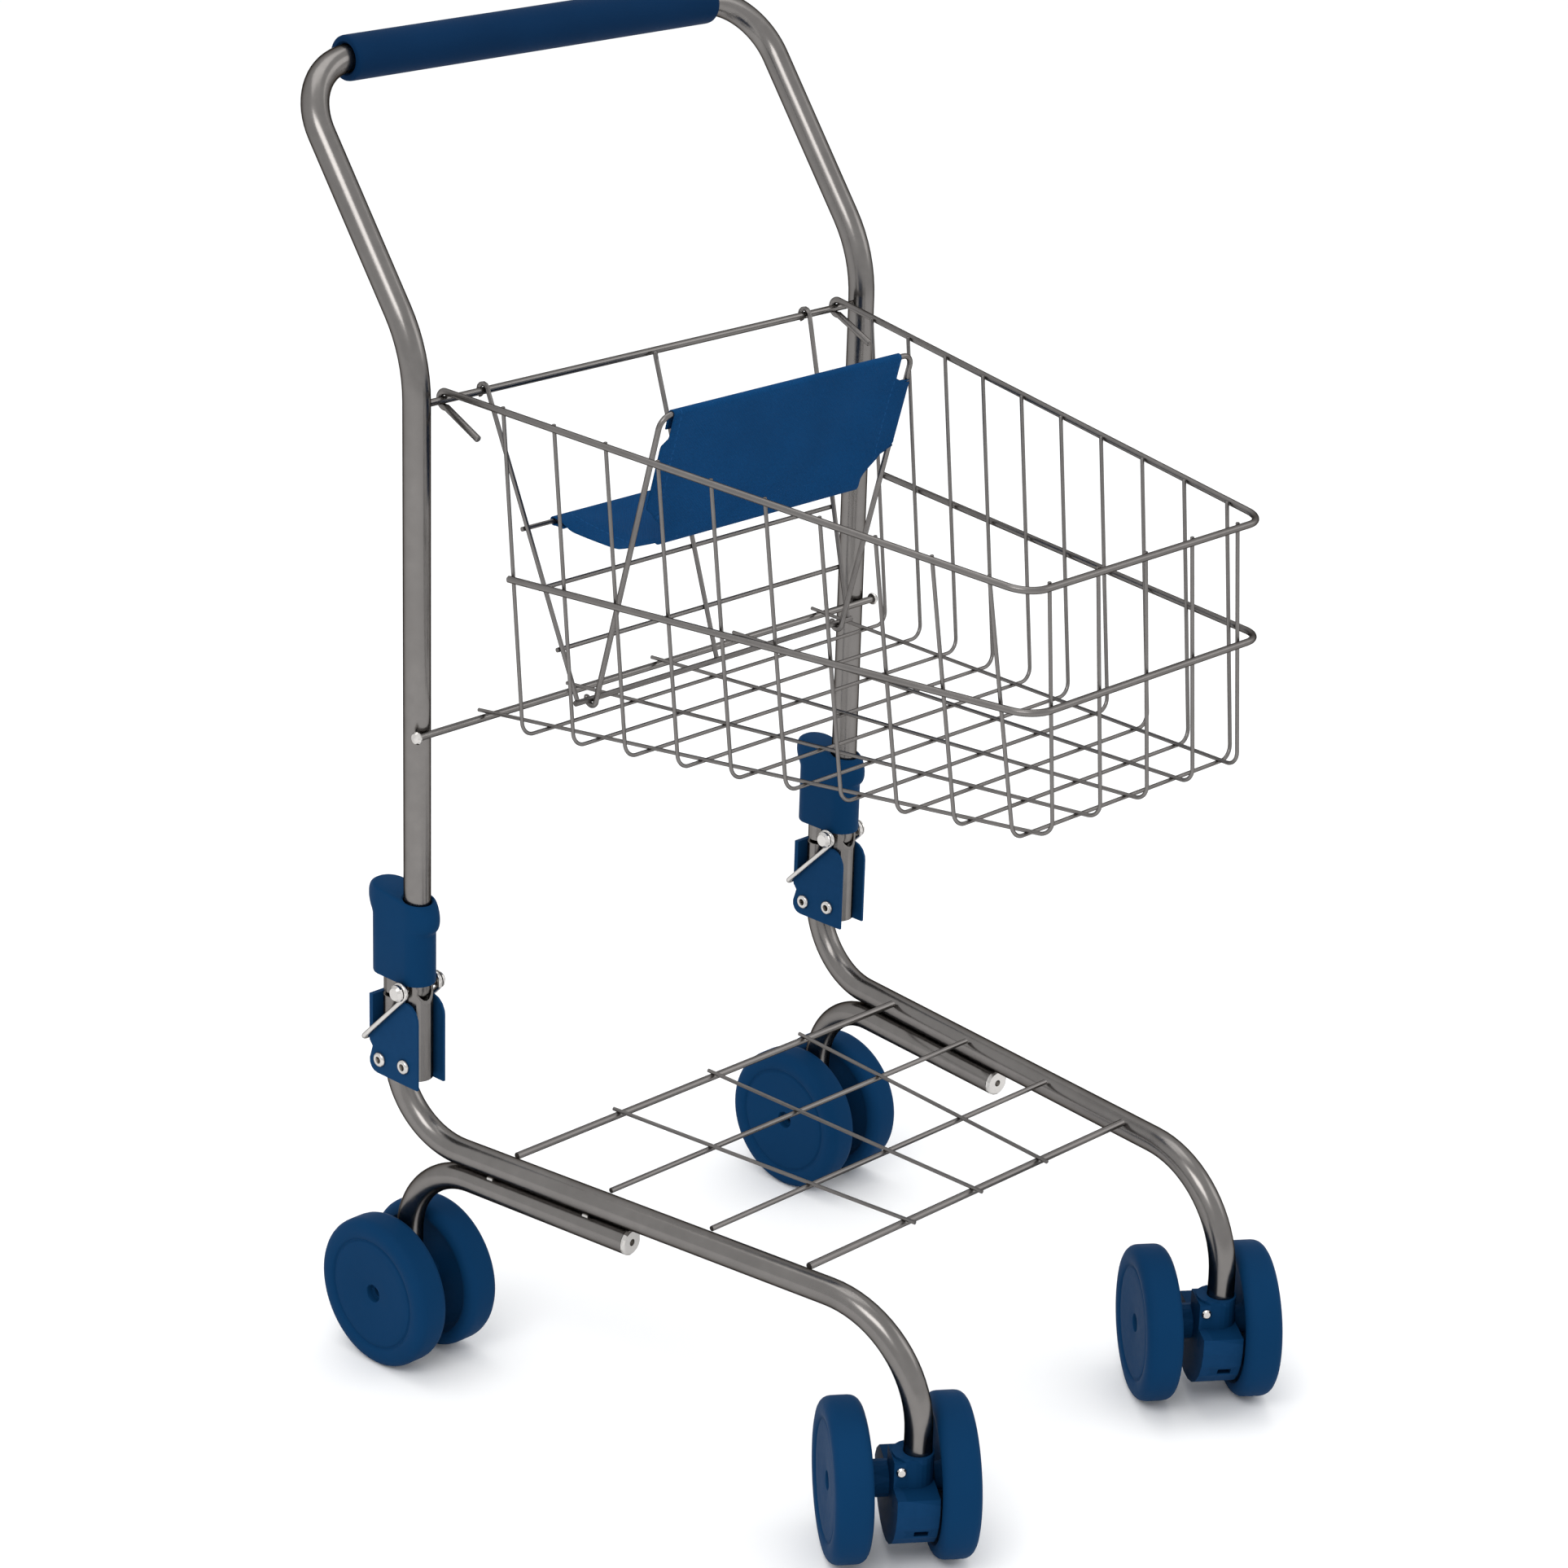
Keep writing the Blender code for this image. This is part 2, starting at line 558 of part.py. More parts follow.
def shelf_rack():
    """Four bars between the rails with three lengthwise wires welded on top."""
    mesh = None
    for y, radius in SHELF_BARS:
        half = rail_x(y) - 5.9 * MM
        bar = rod((0, y, SHELF_TOP_Z - radius), (1, 0, 0), radius, half, 10)
        mesh = combined(mesh, bar, "UNION") if mesh else bar
    for share in (-1, 0, 1):
        z = SHELF_TOP_Z + SHELF_WIRE_R - WELD
        ends = [Vector((share * SHELF_WIRE_REAR_X, SHELF_BARS[0][0] + 3 * MM, z)),
                Vector((share * SHELF_WIRE_FRONT_X, SHELF_BARS[3][0] - 6 * MM, z))]
        mesh = combined(mesh, wire(ends, SHELF_WIRE_R), "UNION")
    finish("shelf_rack", mesh, WIRE_STEEL)


# Wheels and casters


def wheel(name, place, outward, turn=0.0):
    """A broad plastic wheel, dished outside with a hub recess, and hollow on its inner side."""
    bore, tread = BORE_R / MM, WHEEL_R / MM
    profile = [(bore, -7), (5.5, -7), (6.5, -2), (26, -3), (29.5, -8.2), (32.8, -7.9), (tread, -4.5),
               (tread, 4.5), (32.8, 7.9), (28.5, 8.2), (4, 6.6), (3.7, 3.4), (bore, 3.4)]
    points = [(r * MM, z * MM) for r, z in profile]
    mesh = turned(points, WHEEL_SIDES, closed=True)
    lift = math.pi / WHEEL_SIDES
    mesh.transform(Matrix.Rotation(math.pi / 2, 4, "Y") @ Matrix.Rotation(lift, 4, "Z"))
    if outward < 0:
        mesh.transform(Matrix.Rotation(math.pi, 4, "Z"))
    mesh.transform(Matrix.Rotation(turn, 4, "Z"))
    mesh.transform(Matrix.Translation(Vector(place)))
    finish(name, mesh, BLUE_PLASTIC, place)


def rear_wheels(side, name):
    for outward in (-1, 1):
        where = "outer" if outward == side else "inner"
        place = (side * AXLE_X + outward * REAR_WHEEL_X, REAR_AXLE_Y, WHEEL_Z)
        wheel(f"rear_wheel_{where}_{name}", place, outward)


def caster(side, name):
    """A swivelling housing, its socket round the tube's end, with an axle and two wheels."""
    stem = Vector((side * CASTER_X, CASTER_Y, 0))
    swing = Matrix.Translation(stem) @ Matrix.Rotation(CASTER_TURN, 4, "Z")
    low, high = HOUSING_X
    outline = arc((CASTER_TRAIL, WHEEL_Z), 27.5 * MM, 171, 350, 12)
    top = HOUSING_TOP_Z + MM
    outline += [(CASTER_TRAIL + 24 * MM, top - 5 * MM), (CASTER_TRAIL + 18 * MM, top)]
    housing = plate(outline, (low + high) / 2, (high - low) / 2)
    wheel_face = CASTER_SHIFT - CASTER_WHEEL_X + 7.3 * MM
    half = (low + MM - wheel_face) / 2
    hub = rod((wheel_face + half, CASTER_TRAIL, WHEEL_Z), (1, 0, 0), HUB_R, half)
    housing = combined(housing, hub, "UNION")
    foot = 30 * MM
    half = (SOCKET_TOP_Z - foot) / 2
    socket = rod((high - SOCKET_R, 0, foot + half), (0, 0, 1), SOCKET_R, half, 24)
    housing = combined(housing, socket, "UNION")
    lug = box((low - 0.1 * MM, -LUG_Y, foot + MM), (low + 8 * MM, LUG_Y, SOCKET_TOP_Z - 1.2 * MM))
    housing = combined(housing, lug, "UNION")
    housing = drilled(housing, (0, 0, TUBE_FOOT_Z - GAP + 20 * MM), (0, 0, 1), TUBE_R + 0.25 * MM, 20 * MM)
    housing = drilled(housing, (CASTER_SHIFT, CASTER_TRAIL, WHEEL_Z), (1, 0, 0), BORE_R)
    pin_x, pin_z = SOCKET_PIN
    housing = drilled(housing, (pin_x, 0, pin_z), (0, 1, 0), 1.3 * MM, 15 * MM)
    slot = box((-3 * MM, -21 * MM, 20 * MM), (3 * MM, -9 * MM, 23 * MM))
    housing = combined(housing, slot, "DIFFERENCE")
    housing.transform(swing)
    finish(f"caster_housing_{name}", housing, BLUE_PLASTIC, stem)

    pin = placed(two_headed(1.2 * MM, LUG_Y + GAP, 2.2 * MM, MM, 12), (pin_x, 0, pin_z), (0, 1, 0))
    pin.transform(swing)
    finish(f"caster_pin_{name}", pin, STEEL, stem)
    axle = rod((CASTER_SHIFT, CASTER_TRAIL, WHEEL_Z), (1, 0, 0), AXLE_R, CASTER_WHEEL_X + AXLE_REACH)
    axle.transform(swing)
    finish(f"caster_axle_{name}", axle, STEEL, stem)
    for outward, which in ((-1, "a"), (1, "b")):
        place = swing @ Vector((CASTER_SHIFT + outward * CASTER_WHEEL_X, CASTER_TRAIL, WHEEL_Z))
        wheel(f"caster_wheel_{which}_{name}", place, outward, CASTER_TURN)


# Basket


def basket_rim():
    """The rim wire, with a hook over the upper crossbar at each rear end."""
    hook_r = BAR_R + RIM_R + GAP
    tail = Vector((-RIM_REAR_X, -20.8 * MM, 432 * MM))
    curl = hook(-RIM_REAR_X, 0, UPPER_BAR_Z, hook_r, -105, 90, 10)
    corner = (-rim_x(RIM_FRONT_Y), RIM_FRONT_Y, rim_z(RIM_FRONT_Y))
    side = rounded_path([curl[-1], corner, (0, RIM_FRONT_Y, corner[2])], [RIM_CORNER])
    half = [tail] + curl + side[1:-1]
    mesh = wire(half + mirrored(half), RIM_R)
    finish("basket_rim", mesh, WIRE_STEEL, (0, 0, UPPER_BAR_Z))


def basket_band():
    x, y, z = BAND_FRONT
    half = rounded_path([(-BAND_REAR[0], *BAND_REAR[1:]), (-x, y, z), (0, y, z)], [RIM_CORNER])[:-1]
    mesh = wire(half + mirrored(half), RIM_R)
    finish("basket_band", mesh, WIRE_STEEL, (0, 0, UPPER_BAR_Z))


def hoop(index):
    """One U-shaped wire across the basket, inside the rim and the band."""
    share = index / (HOOP_COUNT - 1)
    top_y = HOOP_TOP_Y[0] + (HOOP_TOP_Y[1] - HOOP_TOP_Y[0]) * share
    foot_x, foot_y = (a + (b - a) * share for a, b in zip(*HOOP_FOOT))
    top = (rim_x(top_y) - RIM_R - CAGE_R - GAP, top_y, rim_z(top_y) + MM)
    foot = (foot_x, foot_y, floor_z(foot_y) - 2 * CAGE_R + WELD)
    corners = [(-top[0], *top[1:]), (-foot[0], *foot[1:]), foot, top]
    return wire(rounded_path(corners, (HOOP_CORNER, HOOP_CORNER), math.radians(30)), CAGE_R, resolution=1)


def floor_wire(share):
    """One lengthwise wire of the floor, which turns up at the nose to the rim."""
    top_y = RIM_FRONT_Y + RIM_R + CAGE_R + GAP
    front_x = share * FLOOR_WIRE_FRONT_X
    corners = [(share * FLOOR_WIRE_REAR_X, FLOOR_WIRE_REAR_Y, floor_z(FLOOR_WIRE_REAR_Y)),
               (front_x, FLOOR_WIRE_FRONT_Y, floor_z(FLOOR_WIRE_FRONT_Y)),
               (front_x, top_y, rim_z(top_y) + MM)]
    return wire(rounded_path(corners, [HOOP_CORNER], math.radians(30)), CAGE_R, resolution=1)


def basket_cage():
    """Ten hoops and five floor wires, welded where they cross."""
    joined = bmesh.new()
    for index in range(HOOP_COUNT):
        joined.from_mesh(hoop(index))
    hoops = bpy.data.meshes.new("hoops")
    joined.to_mesh(hoops)
    joined.clear()
    for share in range(-2, 3):
        joined.from_mesh(floor_wire(share))
    floor = bpy.data.meshes.new("floor")
    joined.to_mesh(floor)
    joined.free()
    finish("basket_cage", combined(hoops, floor, "UNION"), WIRE_STEEL, (0, 0, UPPER_BAR_Z))


# Rear flap and doll's seat


def flap_frame():
    """Three hanging wires, the outer two hooked on the crossbar, three cross wires and a bottom rod."""
    y, z = FLAP_FOOT
    mesh = rod((0, y, z), (1, 0, 0), FLAP_ROD_R, flap_x(z) + 2 * MM, 12)
    hook_r = BAR_R + FLAP_R + GAP
    for side in (-1, 0, 1):
        path = hook(side * FLAP_TOP_X, 0, UPPER_BAR_Z, hook_r, -60, 180)
        path.append(Vector((side * FLAP_FOOT_X, y, z - FLAP_ROD_R + 0.2 * MM)))
        if not side:
            path = [path[-2].lerp(path[-1], 0.02), path[-1]]
        mesh = combined(mesh, wire(path, FLAP_R, resolution=1), "UNION")
    for bar_z in FLAP_BARS_Z:
        place = (0, flap_y(bar_z) + 2 * FLAP_R - WELD, bar_z)
        mesh = combined(mesh, rod(place, (1, 0, 0), FLAP_R, flap_x(bar_z) + 2 * MM, 8), "UNION")
    finish("flap_frame", mesh, WIRE_STEEL, (0, 0, UPPER_BAR_Z))


def seat_back_frame():
    """An upside-down U of wire whose feet loop round the flap's bottom rod."""
    y, z = FLAP_FOOT
    loop = hook(-SEAT_X, y, z, FLAP_ROD_R + SEAT_WIRE_R + GAP, 20, -180, 8)
    top = (-SEAT_X, *SEAT_TOP)
    half = loop + rounded_path([loop[-1], top, (0, *SEAT_TOP)], [6 * MM])[1:-1]
    mesh = wire(half + mirrored(half), SEAT_WIRE_R)
    finish("seat_back_frame", mesh, WIRE_STEEL, (0, y, z))


def seat_back_y(z):
    foot = FLAP_FOOT[0] - FLAP_ROD_R - SEAT_WIRE_R - GAP
    share = (z - FLAP_FOOT[1]) / (SEAT_TOP[1] - FLAP_FOOT[1])
    return foot + (SEAT_TOP[0] - foot) * share


def doll_seat():
    """The sling as two flat panels: the back between the frame's sides, and the seat."""
    half = SEAT_X - 3 * MM
    low, high = SEAT_Z + MM, SEAT_TOP[1] - 3 * MM
    corners = ((low, -1), (high, -1), (high, 1), (low, 1))
    outline = [(seat_back_y(z) + shift * CLOTH / 2, z) for z, shift in corners]
    finish("seat_back_panel", plate(outline, 0, half), BLUE_FABRIC, (0, *FLAP_FOOT))
    front, rear = seat_back_y(SEAT_Z) + 4 * MM, flap_y(SEAT_Z) - FLAP_R - MM
    seat = box((-half + 4 * MM, front, SEAT_Z - CLOTH), (half - 4 * MM, rear, SEAT_Z))
    finish("seat_panel", seat, BLUE_FABRIC, (0, 0, UPPER_BAR_Z))


SIDES = ((-1, "left"), (1, "right"))
AXLE_X = rail_x(-6.5 * MM)

clear_scene()
trolley = bpy.data.collections.new("shopping_trolley")
bpy.context.scene.collection.children.link(trolley)
root = bpy.data.objects.new("trolley_origin", None)
root.location = (0, UPRIGHT_Y, 0)
trolley.objects.link(root)

handle_tube()
handle_grip()
crossbars()
for side, name in SIDES:
    pivot_bolt(side, name)
    lock_sleeve(side, name)
    bail(side, name)
    hinge_channel(side, name)
    hinge_bracket(side, name)
    bracket_rivets(side, name)
    side_tube(side, name)
    rear_leg(side, name)
    rear_wheels(side, name)
    caster(side, name)
shelf_rack()
basket_rim()
basket_band()
basket_cage()
flap_frame()
seat_back_frame()
doll_seat()
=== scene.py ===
"""The finished look of the child's wire shopping trolley: bent zinc-plated tube and wire, blue
moulded plastic and a blue woven doll's seat, on a plain pale floor.

Everything is in the row frame, in metres: +X is the width, -Y the nose, +Z up. Places along Y
are counted from the uprights' axis, which sits at UPRIGHT_Y, and moved there by row().
"""

import math

import bmesh
import bpy
from mathutils import Matrix, Vector, noise


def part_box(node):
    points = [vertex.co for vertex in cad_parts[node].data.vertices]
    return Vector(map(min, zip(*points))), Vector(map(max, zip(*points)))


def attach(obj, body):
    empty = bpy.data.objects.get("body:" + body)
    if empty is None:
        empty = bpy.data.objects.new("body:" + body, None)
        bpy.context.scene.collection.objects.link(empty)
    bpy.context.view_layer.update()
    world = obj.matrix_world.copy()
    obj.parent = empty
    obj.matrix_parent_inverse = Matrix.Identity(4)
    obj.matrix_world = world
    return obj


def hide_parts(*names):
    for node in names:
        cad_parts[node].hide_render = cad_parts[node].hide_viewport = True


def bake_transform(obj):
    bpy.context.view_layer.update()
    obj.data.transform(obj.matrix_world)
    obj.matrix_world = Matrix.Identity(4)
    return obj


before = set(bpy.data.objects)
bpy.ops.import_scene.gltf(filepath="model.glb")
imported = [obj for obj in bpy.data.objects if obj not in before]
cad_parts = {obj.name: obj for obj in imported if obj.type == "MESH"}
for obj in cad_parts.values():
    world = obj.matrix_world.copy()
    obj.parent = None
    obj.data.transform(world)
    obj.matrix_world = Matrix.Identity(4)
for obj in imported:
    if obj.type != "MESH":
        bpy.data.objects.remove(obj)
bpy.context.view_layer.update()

MM = 0.001
UPRIGHT_Y = 108.5 * MM
SIDES = ((-1, "left"), (1, "right"))

TUBE_R = 6 * MM
TUBE_WALL = 1 * MM
GAP = 0.3 * MM
UPRIGHT_X = 135 * MM
KNEE_Z = 466.8 * MM
KNEE_BEND = 62 * MM
GRIP_Y, GRIP_Z = 77.2 * MM, 573.8 * MM
GRIP_BEND = 31 * MM
PIVOT_Z = 182.4 * MM
UPRIGHT_END_Z = PIVOT_Z - 5.5 * MM
LOWER_TUBE_Y = 13.5 * MM
RAIL_Z = 109.5 * MM
CASTER_X = 100 * MM
CASTER_Y = -271 * MM
CASTER_TURN = math.radians(-37.5)
RAIL_REAR_BEND = 38 * MM
RAIL_FRONT_BEND = 48 * MM
TUBE_FOOT_Z = 44.5 * MM
LEG_FRONT_Y = -118 * MM
LEG_KNEE_Y = 7 * MM
LEG_BEND = 37 * MM
SLEEVE_FOOT_Z = PIVOT_Z + 2.5 * MM
SLEEVE_LIP_Z = 213 * MM
SLEEVE_TOP_Z = 226.3 * MM
SLEEVE_R = 8.2 * MM
SLEEVE_REAR = 17 * MM
SLEEVE_SLOPE = 0.15
BAR_R = 1.6 * MM
UPPER_BAR_Z = 444.8 * MM
RIM_R = 1.5 * MM
RIM_REAR_X = 119.2 * MM
RIM_TAPER = 0.163
RIM_SLOPE = 0.0958
RIM_FRONT_Y = -283.5 * MM
CORNER_BEND = 12 * MM
LOWER_BAR_Z = 301.9 * MM
LOWER_BAR_Y = -TUBE_R - BAR_R - GAP
FLOOR_SLOPE = 0.0505
CAGE_R = 0.85 * MM
CAGE_BEND = 6 * MM
HOOPS = 10
FLAP_R = 1.1 * MM
SEAT_WIRE_R = 1.25 * MM


# Materials


class Nodes:
    """A short way to write a material's node tree."""

    def __init__(self, name):
        self.material = bpy.data.materials.new(name)
        self.material.use_nodes = True
        self.tree = self.material.node_tree
        self.shader = self.tree.nodes["Principled BSDF"]

    def set(self, node, key, value):
        if isinstance(value, bpy.types.NodeSocket):
            self.tree.links.new(value, node.inputs[key])
        else:
            node.inputs[key].default_value = value

    def add(self, kind, inputs=(), **settings):
        node = self.tree.nodes.new(kind)
        for key, value in settings.items():
            setattr(node, key, value)
        for key, value in dict(inputs).items():
            self.set(node, key, value)
        return node

    def math(self, operation, *values):
        return self.add("ShaderNodeMath", enumerate(values), operation=operation).outputs[0]

    def noise(self, vector, scale, detail=2.0, roughness=0.5):
        inputs = {"Vector": vector, "Scale": scale, "Detail": detail, "Roughness": roughness}
        return self.add("ShaderNodeTexNoise", inputs).outputs["Fac"]

    def between(self, value, low, high):
        """The 0 to 1 value brought between two numbers."""
        inputs = {"Value": value, "To Min": low, "To Max": high}
        return self.add("ShaderNodeMapRange", inputs).outputs["Result"]

    def mix(self, share, a, b):
        node = self.add("ShaderNodeMix", data_type="RGBA")
        self.set(node, 0, share)
        for key, value in ((6, a), (7, b)):
            self.set(node, key, value)
        return node.outputs[2]

    def bump(self, height, distance, strength=1.0):
        inputs = {"Height": height, "Distance": distance, "Strength": strength}
        return self.add("ShaderNodeBump", inputs).outputs["Normal"]

    def finish(self, **values):
        for key, value in values.items():
            self.set(self.shader, key.replace("_", " "), value)
        return self.material


def steel(name, base, dull):
    """Satin zinc plating: soft clouding, fine pits and faint rubbed patches."""
    n = Nodes(name)
    place = n.add("ShaderNodeTexCoord").outputs["Object"]
    cloud = n.noise(place, 34.0, 3.0)
    grain = n.noise(place, 900.0, 4.0, 0.65)
    patch = n.noise(place, 150.0, 3.0, 0.6)
    dark = tuple(0.9 * c for c in base) + (1.0,)
    light = tuple(1.12 * c for c in base) + (1.0,)
    colour = n.mix(n.between(n.math("MULTIPLY", cloud, patch), 0.0, 2.2), dark, light)
    rough = n.math("ADD", n.between(grain, dull - 0.05, dull + 0.05), n.between(patch, -0.04, 0.04))
    tint = (0.14, 0.135, 0.13, 1.0)
    return n.finish(Base_Color=colour, Roughness=rough, Metallic=1.0, Specular_Tint=tint,
                    Normal=n.bump(grain, 0.00001, 0.08))


def plastic(name, base):
    """Moulded plastic: a fine spark-eroded grain, slight flow marks and paler rubbed edges."""
    n = Nodes(name)
    place = n.add("ShaderNodeTexCoord").outputs["Object"]
    grain = n.noise(place, 1500.0, 2.0, 0.6)
    flow = n.noise(place, 22.0, 3.0)
    scuff = n.noise(place, 260.0, 5.0, 0.7)
    edge = n.add("ShaderNodeNewGeometry").outputs["Pointiness"]
    worn = n.math("MULTIPLY", n.math("GREATER_THAN", edge, 0.56), n.between(scuff, 0.0, 0.5))
    dark = tuple(0.86 * c for c in base) + (1.0,)
    light = tuple(1.14 * c for c in base) + (1.0,)
    pale = tuple(1.5 * c + 0.006 for c in base) + (1.0,)
    colour = n.mix(worn, n.mix(flow, dark, light), pale)
    return n.finish(Base_Color=colour, Roughness=n.between(scuff, 0.48, 0.64), Specular_IOR_Level=0.02,
                    Normal=n.bump(grain, 0.00004, 0.5))


def woven(name, base, threads=1500.0):
    """Plain weave of crossing threads along the cloth's own width and length, in metres."""
    n = Nodes(name)
    flat = n.add("ShaderNodeUVMap", uv_map="cloth").outputs["UV"]
    split = n.add("ShaderNodeSeparateXYZ", {"Vector": flat})
    turn = math.pi * threads
    across = n.math("SINE", n.math("MULTIPLY", split.outputs["X"], turn))
    along = n.math("SINE", n.math("MULTIPLY", split.outputs["Y"], turn))
    weave = n.between(n.math("MULTIPLY", across, along), -1.0, 1.0)
    weave = n.math("MULTIPLY_ADD", n.math("ABSOLUTE", across), 0.25, weave)
    slub = n.noise(flat, 900.0, 3.0)
    cloud = n.noise(flat, 30.0, 4.0)
    fuzz = n.noise(flat, 4000.0, 2.0)
    edge = n.math("ABSOLUTE", split.outputs["X"])
    dash = n.math("LESS_THAN", n.math("FRACT", n.math("MULTIPLY", split.outputs["Y"], 320.0)), 0.62)
    row = n.math("LESS_THAN", n.math("ABSOLUTE", n.math("SUBTRACT", edge, 0.0665)), 0.00028)
    stitch = n.math("MULTIPLY", dash, row)
    dark = tuple(0.8 * c for c in base) + (1.0,)
    light = tuple(1.2 * c for c in base) + (1.0,)
    thread = tuple(1.7 * c + 0.004 for c in base) + (1.0,)
    colour = n.mix(n.between(n.math("MULTIPLY", cloud, slub), 0.0, 3.0), dark, light)
    colour = n.mix(n.math("MULTIPLY", stitch, 0.7), colour, thread)
    height = n.math("ADD", weave, n.math("MULTIPLY", fuzz, 0.5))
    height = n.math("ADD", height, n.math("MULTIPLY", stitch, 3.0))
    return n.finish(Base_Color=colour, Roughness=n.between(slub, 0.78, 0.95), Specular_IOR_Level=0.03,
                    Sheen_Weight=0.02, Sheen_Roughness=0.4, Sheen_Tint=(0.3, 0.5, 1.0, 1.0),
                    Normal=n.bump(height, 0.00012, 0.6))


def matt(name, base):
    """Smooth matt paint with faint clouding."""
    n = Nodes(name)
    place = n.add("ShaderNodeTexCoord").outputs["Object"]
    cloud = n.noise(place, 3.0, 3.0)
    dark = tuple(0.985 * c for c in base) + (1.0,)
    return n.finish(Base_Color=n.mix(cloud, dark, (*base, 1.0)), Roughness=0.9, Specular_IOR_Level=0.0,
                    Normal=n.bump(n.noise(place, 400.0), 0.0001, 0.2))


TUBE_STEEL = steel("satin_tube", (0.175, 0.165, 0.158), 0.24)
WIRE_STEEL = steel("satin_wire", (0.17, 0.16, 0.154), 0.33)
BRIGHT_STEEL = steel("bright_rivet", (0.55, 0.53, 0.51), 0.22)
BLUE = plastic("moulded_blue", (0.0032, 0.031, 0.088))
BLUE_GRIP = plastic("grip_blue", (0.0026, 0.020, 0.060))
CLOTH = woven("woven_blue", (0.0034, 0.037, 0.112))

FINISH = {
    "zinc_plated_steel": TUBE_STEEL,
    "zinc_plated_wire": WIRE_STEEL,
    "blue_plastic": BLUE,
    "blue_fabric": CLOTH,
}


# Shapes


def row(x, y, z):
    """A place whose Y is counted from the uprights."""
    return Vector((x, UPRIGHT_Y + y, z))


def shown(name, mesh, body, slot, finish=None, nodes=None):
    """A finished piece that stands for CAD nodes of the same name, or for the ones given."""
    mesh.name = name
    mesh.shade_smooth()
    mesh.set_sharp_from_angle(angle=math.radians(38))
    mesh.materials.clear()
    mesh.materials.append(finish or FINISH[slot])
    obj = bpy.data.objects.new(f"{name}_shown", mesh)
    bpy.context.scene.collection.objects.link(obj)
    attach(obj, body)
    if nodes is None:
        nodes = [name]
    if nodes:
        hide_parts(*nodes)


def mesh_from(work, name="made"):
    bmesh.ops.recalc_face_normals(work, faces=work.faces)
    mesh = bpy.data.meshes.new(name)
    work.to_mesh(mesh)
    work.free()
    return mesh


def rounded_path(corners, radii, arc_step=math.radians(5)):
    """Straight runs joined by arcs. radii gives the bend at each inner corner."""
    points = [Vector(corners[0])]
    for before, corner, after, radius in zip(corners, corners[1:], corners[2:], radii):
        corner = Vector(corner)
        back = (Vector(before) - corner).normalized()
        ahead = (Vector(after) - corner).normalized()
        turn = math.pi - back.angle(ahead)
        reach = radius * math.tan(turn / 2)
        centre = corner + (back + ahead).normalized() * radius / math.cos(turn / 2)
        start = corner + back * reach - centre
        normal = start.cross(corner + ahead * reach - centre).normalized()
        steps = max(2, math.ceil(turn / arc_step))
        for step in range(steps + 1):
            points.append(centre + Matrix.Rotation(turn * step / steps, 3, normal) @ start)
    points.append(Vector(corners[-1]))
    return points


def hook(x, y, z, radius, start, end, steps=16):
    """Points on an arc in the plane of Y and Z around a bar; 0 degrees is +Y and 90 is up."""
    angles = [math.radians(start + (end - start) * step / steps) for step in range(steps + 1)]
    return [row(x, y + radius * math.cos(a), z + radius * math.sin(a)) for a in angles]


def mirrored(points):
    """The same run on the other side, followed the other way."""
    return [Vector((-p.x, p.y, p.z)) for p in reversed(points)]


def rings_along(points, radii, sides):
    """For each radius, the loops of points round a path, turned as little as possible."""
    ahead = (points[1] - points[0]).normalized()
    side = ahead.orthogonal().normalized()
    loops = []
    for index, point in enumerate(points):
        before = points[max(index - 1, 0)]
        after = points[min(index + 1, len(points) - 1)]
        along = (after - before).normalized()
        side = ahead.rotation_difference(along) @ side
        ahead = along
        up = ahead.cross(side)
        stretch = 1.0
        if 0 < index < len(points) - 1:
            bend = (point - before).angle(after - point)
            stretch = 1 / max(math.cos(bend / 2), 0.5)
        out = (after - point).normalized() - (point - before).normalized() if stretch > 1 else None
        loop = []
        for i in range(sides):
            a = 2 * math.pi * i / sides
            away = side * math.cos(a) + up * math.sin(a)
            if out and out.length > 1e-9:
                lean = out.normalized()
                away = away + lean * away.dot(lean) * (stretch - 1)
            loop.append(away)
        loops.append([[point + away * radius for away in loop] for radius in radii])
    return loops


def skin(work, loops):
    """Faces between following loops of the same number of points."""
    rings = [[work.verts.new(point) for point in loop] for loop in loops]
    for below, above in zip(rings, rings[1:]):
        for i in range(len(below)):
            j = (i + 1) % len(below)
            work.faces.new((below[i], below[j], above[j], above[i]))
    return rings


def wire_into(work, points, radius, sides=12):
    """A round bar with slightly broken edges at its ends."""
    loops = [loop[0] for loop in rings_along(points, [radius], sides)]
    for end, step in ((0, points[0] - points[1]), (-1, points[-1] - points[-2])):
        inward = step.normalized() * -0.25 * radius
        centre = points[end]
        loop = loops[end]
        rounded = [p + inward for p in loop]
        cap = [centre + (p - centre) * 0.75 for p in loop]
        if end == 0:
            loops[0:1] = [cap, rounded]
        else:
            loops[-1:] = [rounded, cap]
    rings = skin(work, loops)
    work.faces.new(rings[0])
    work.faces.new(rings[-1])


def wires(*runs, sides=12):
    work = bmesh.new()
    for points, radius in runs:
        wire_into(work, points, radius, sides)
    return mesh_from(work)


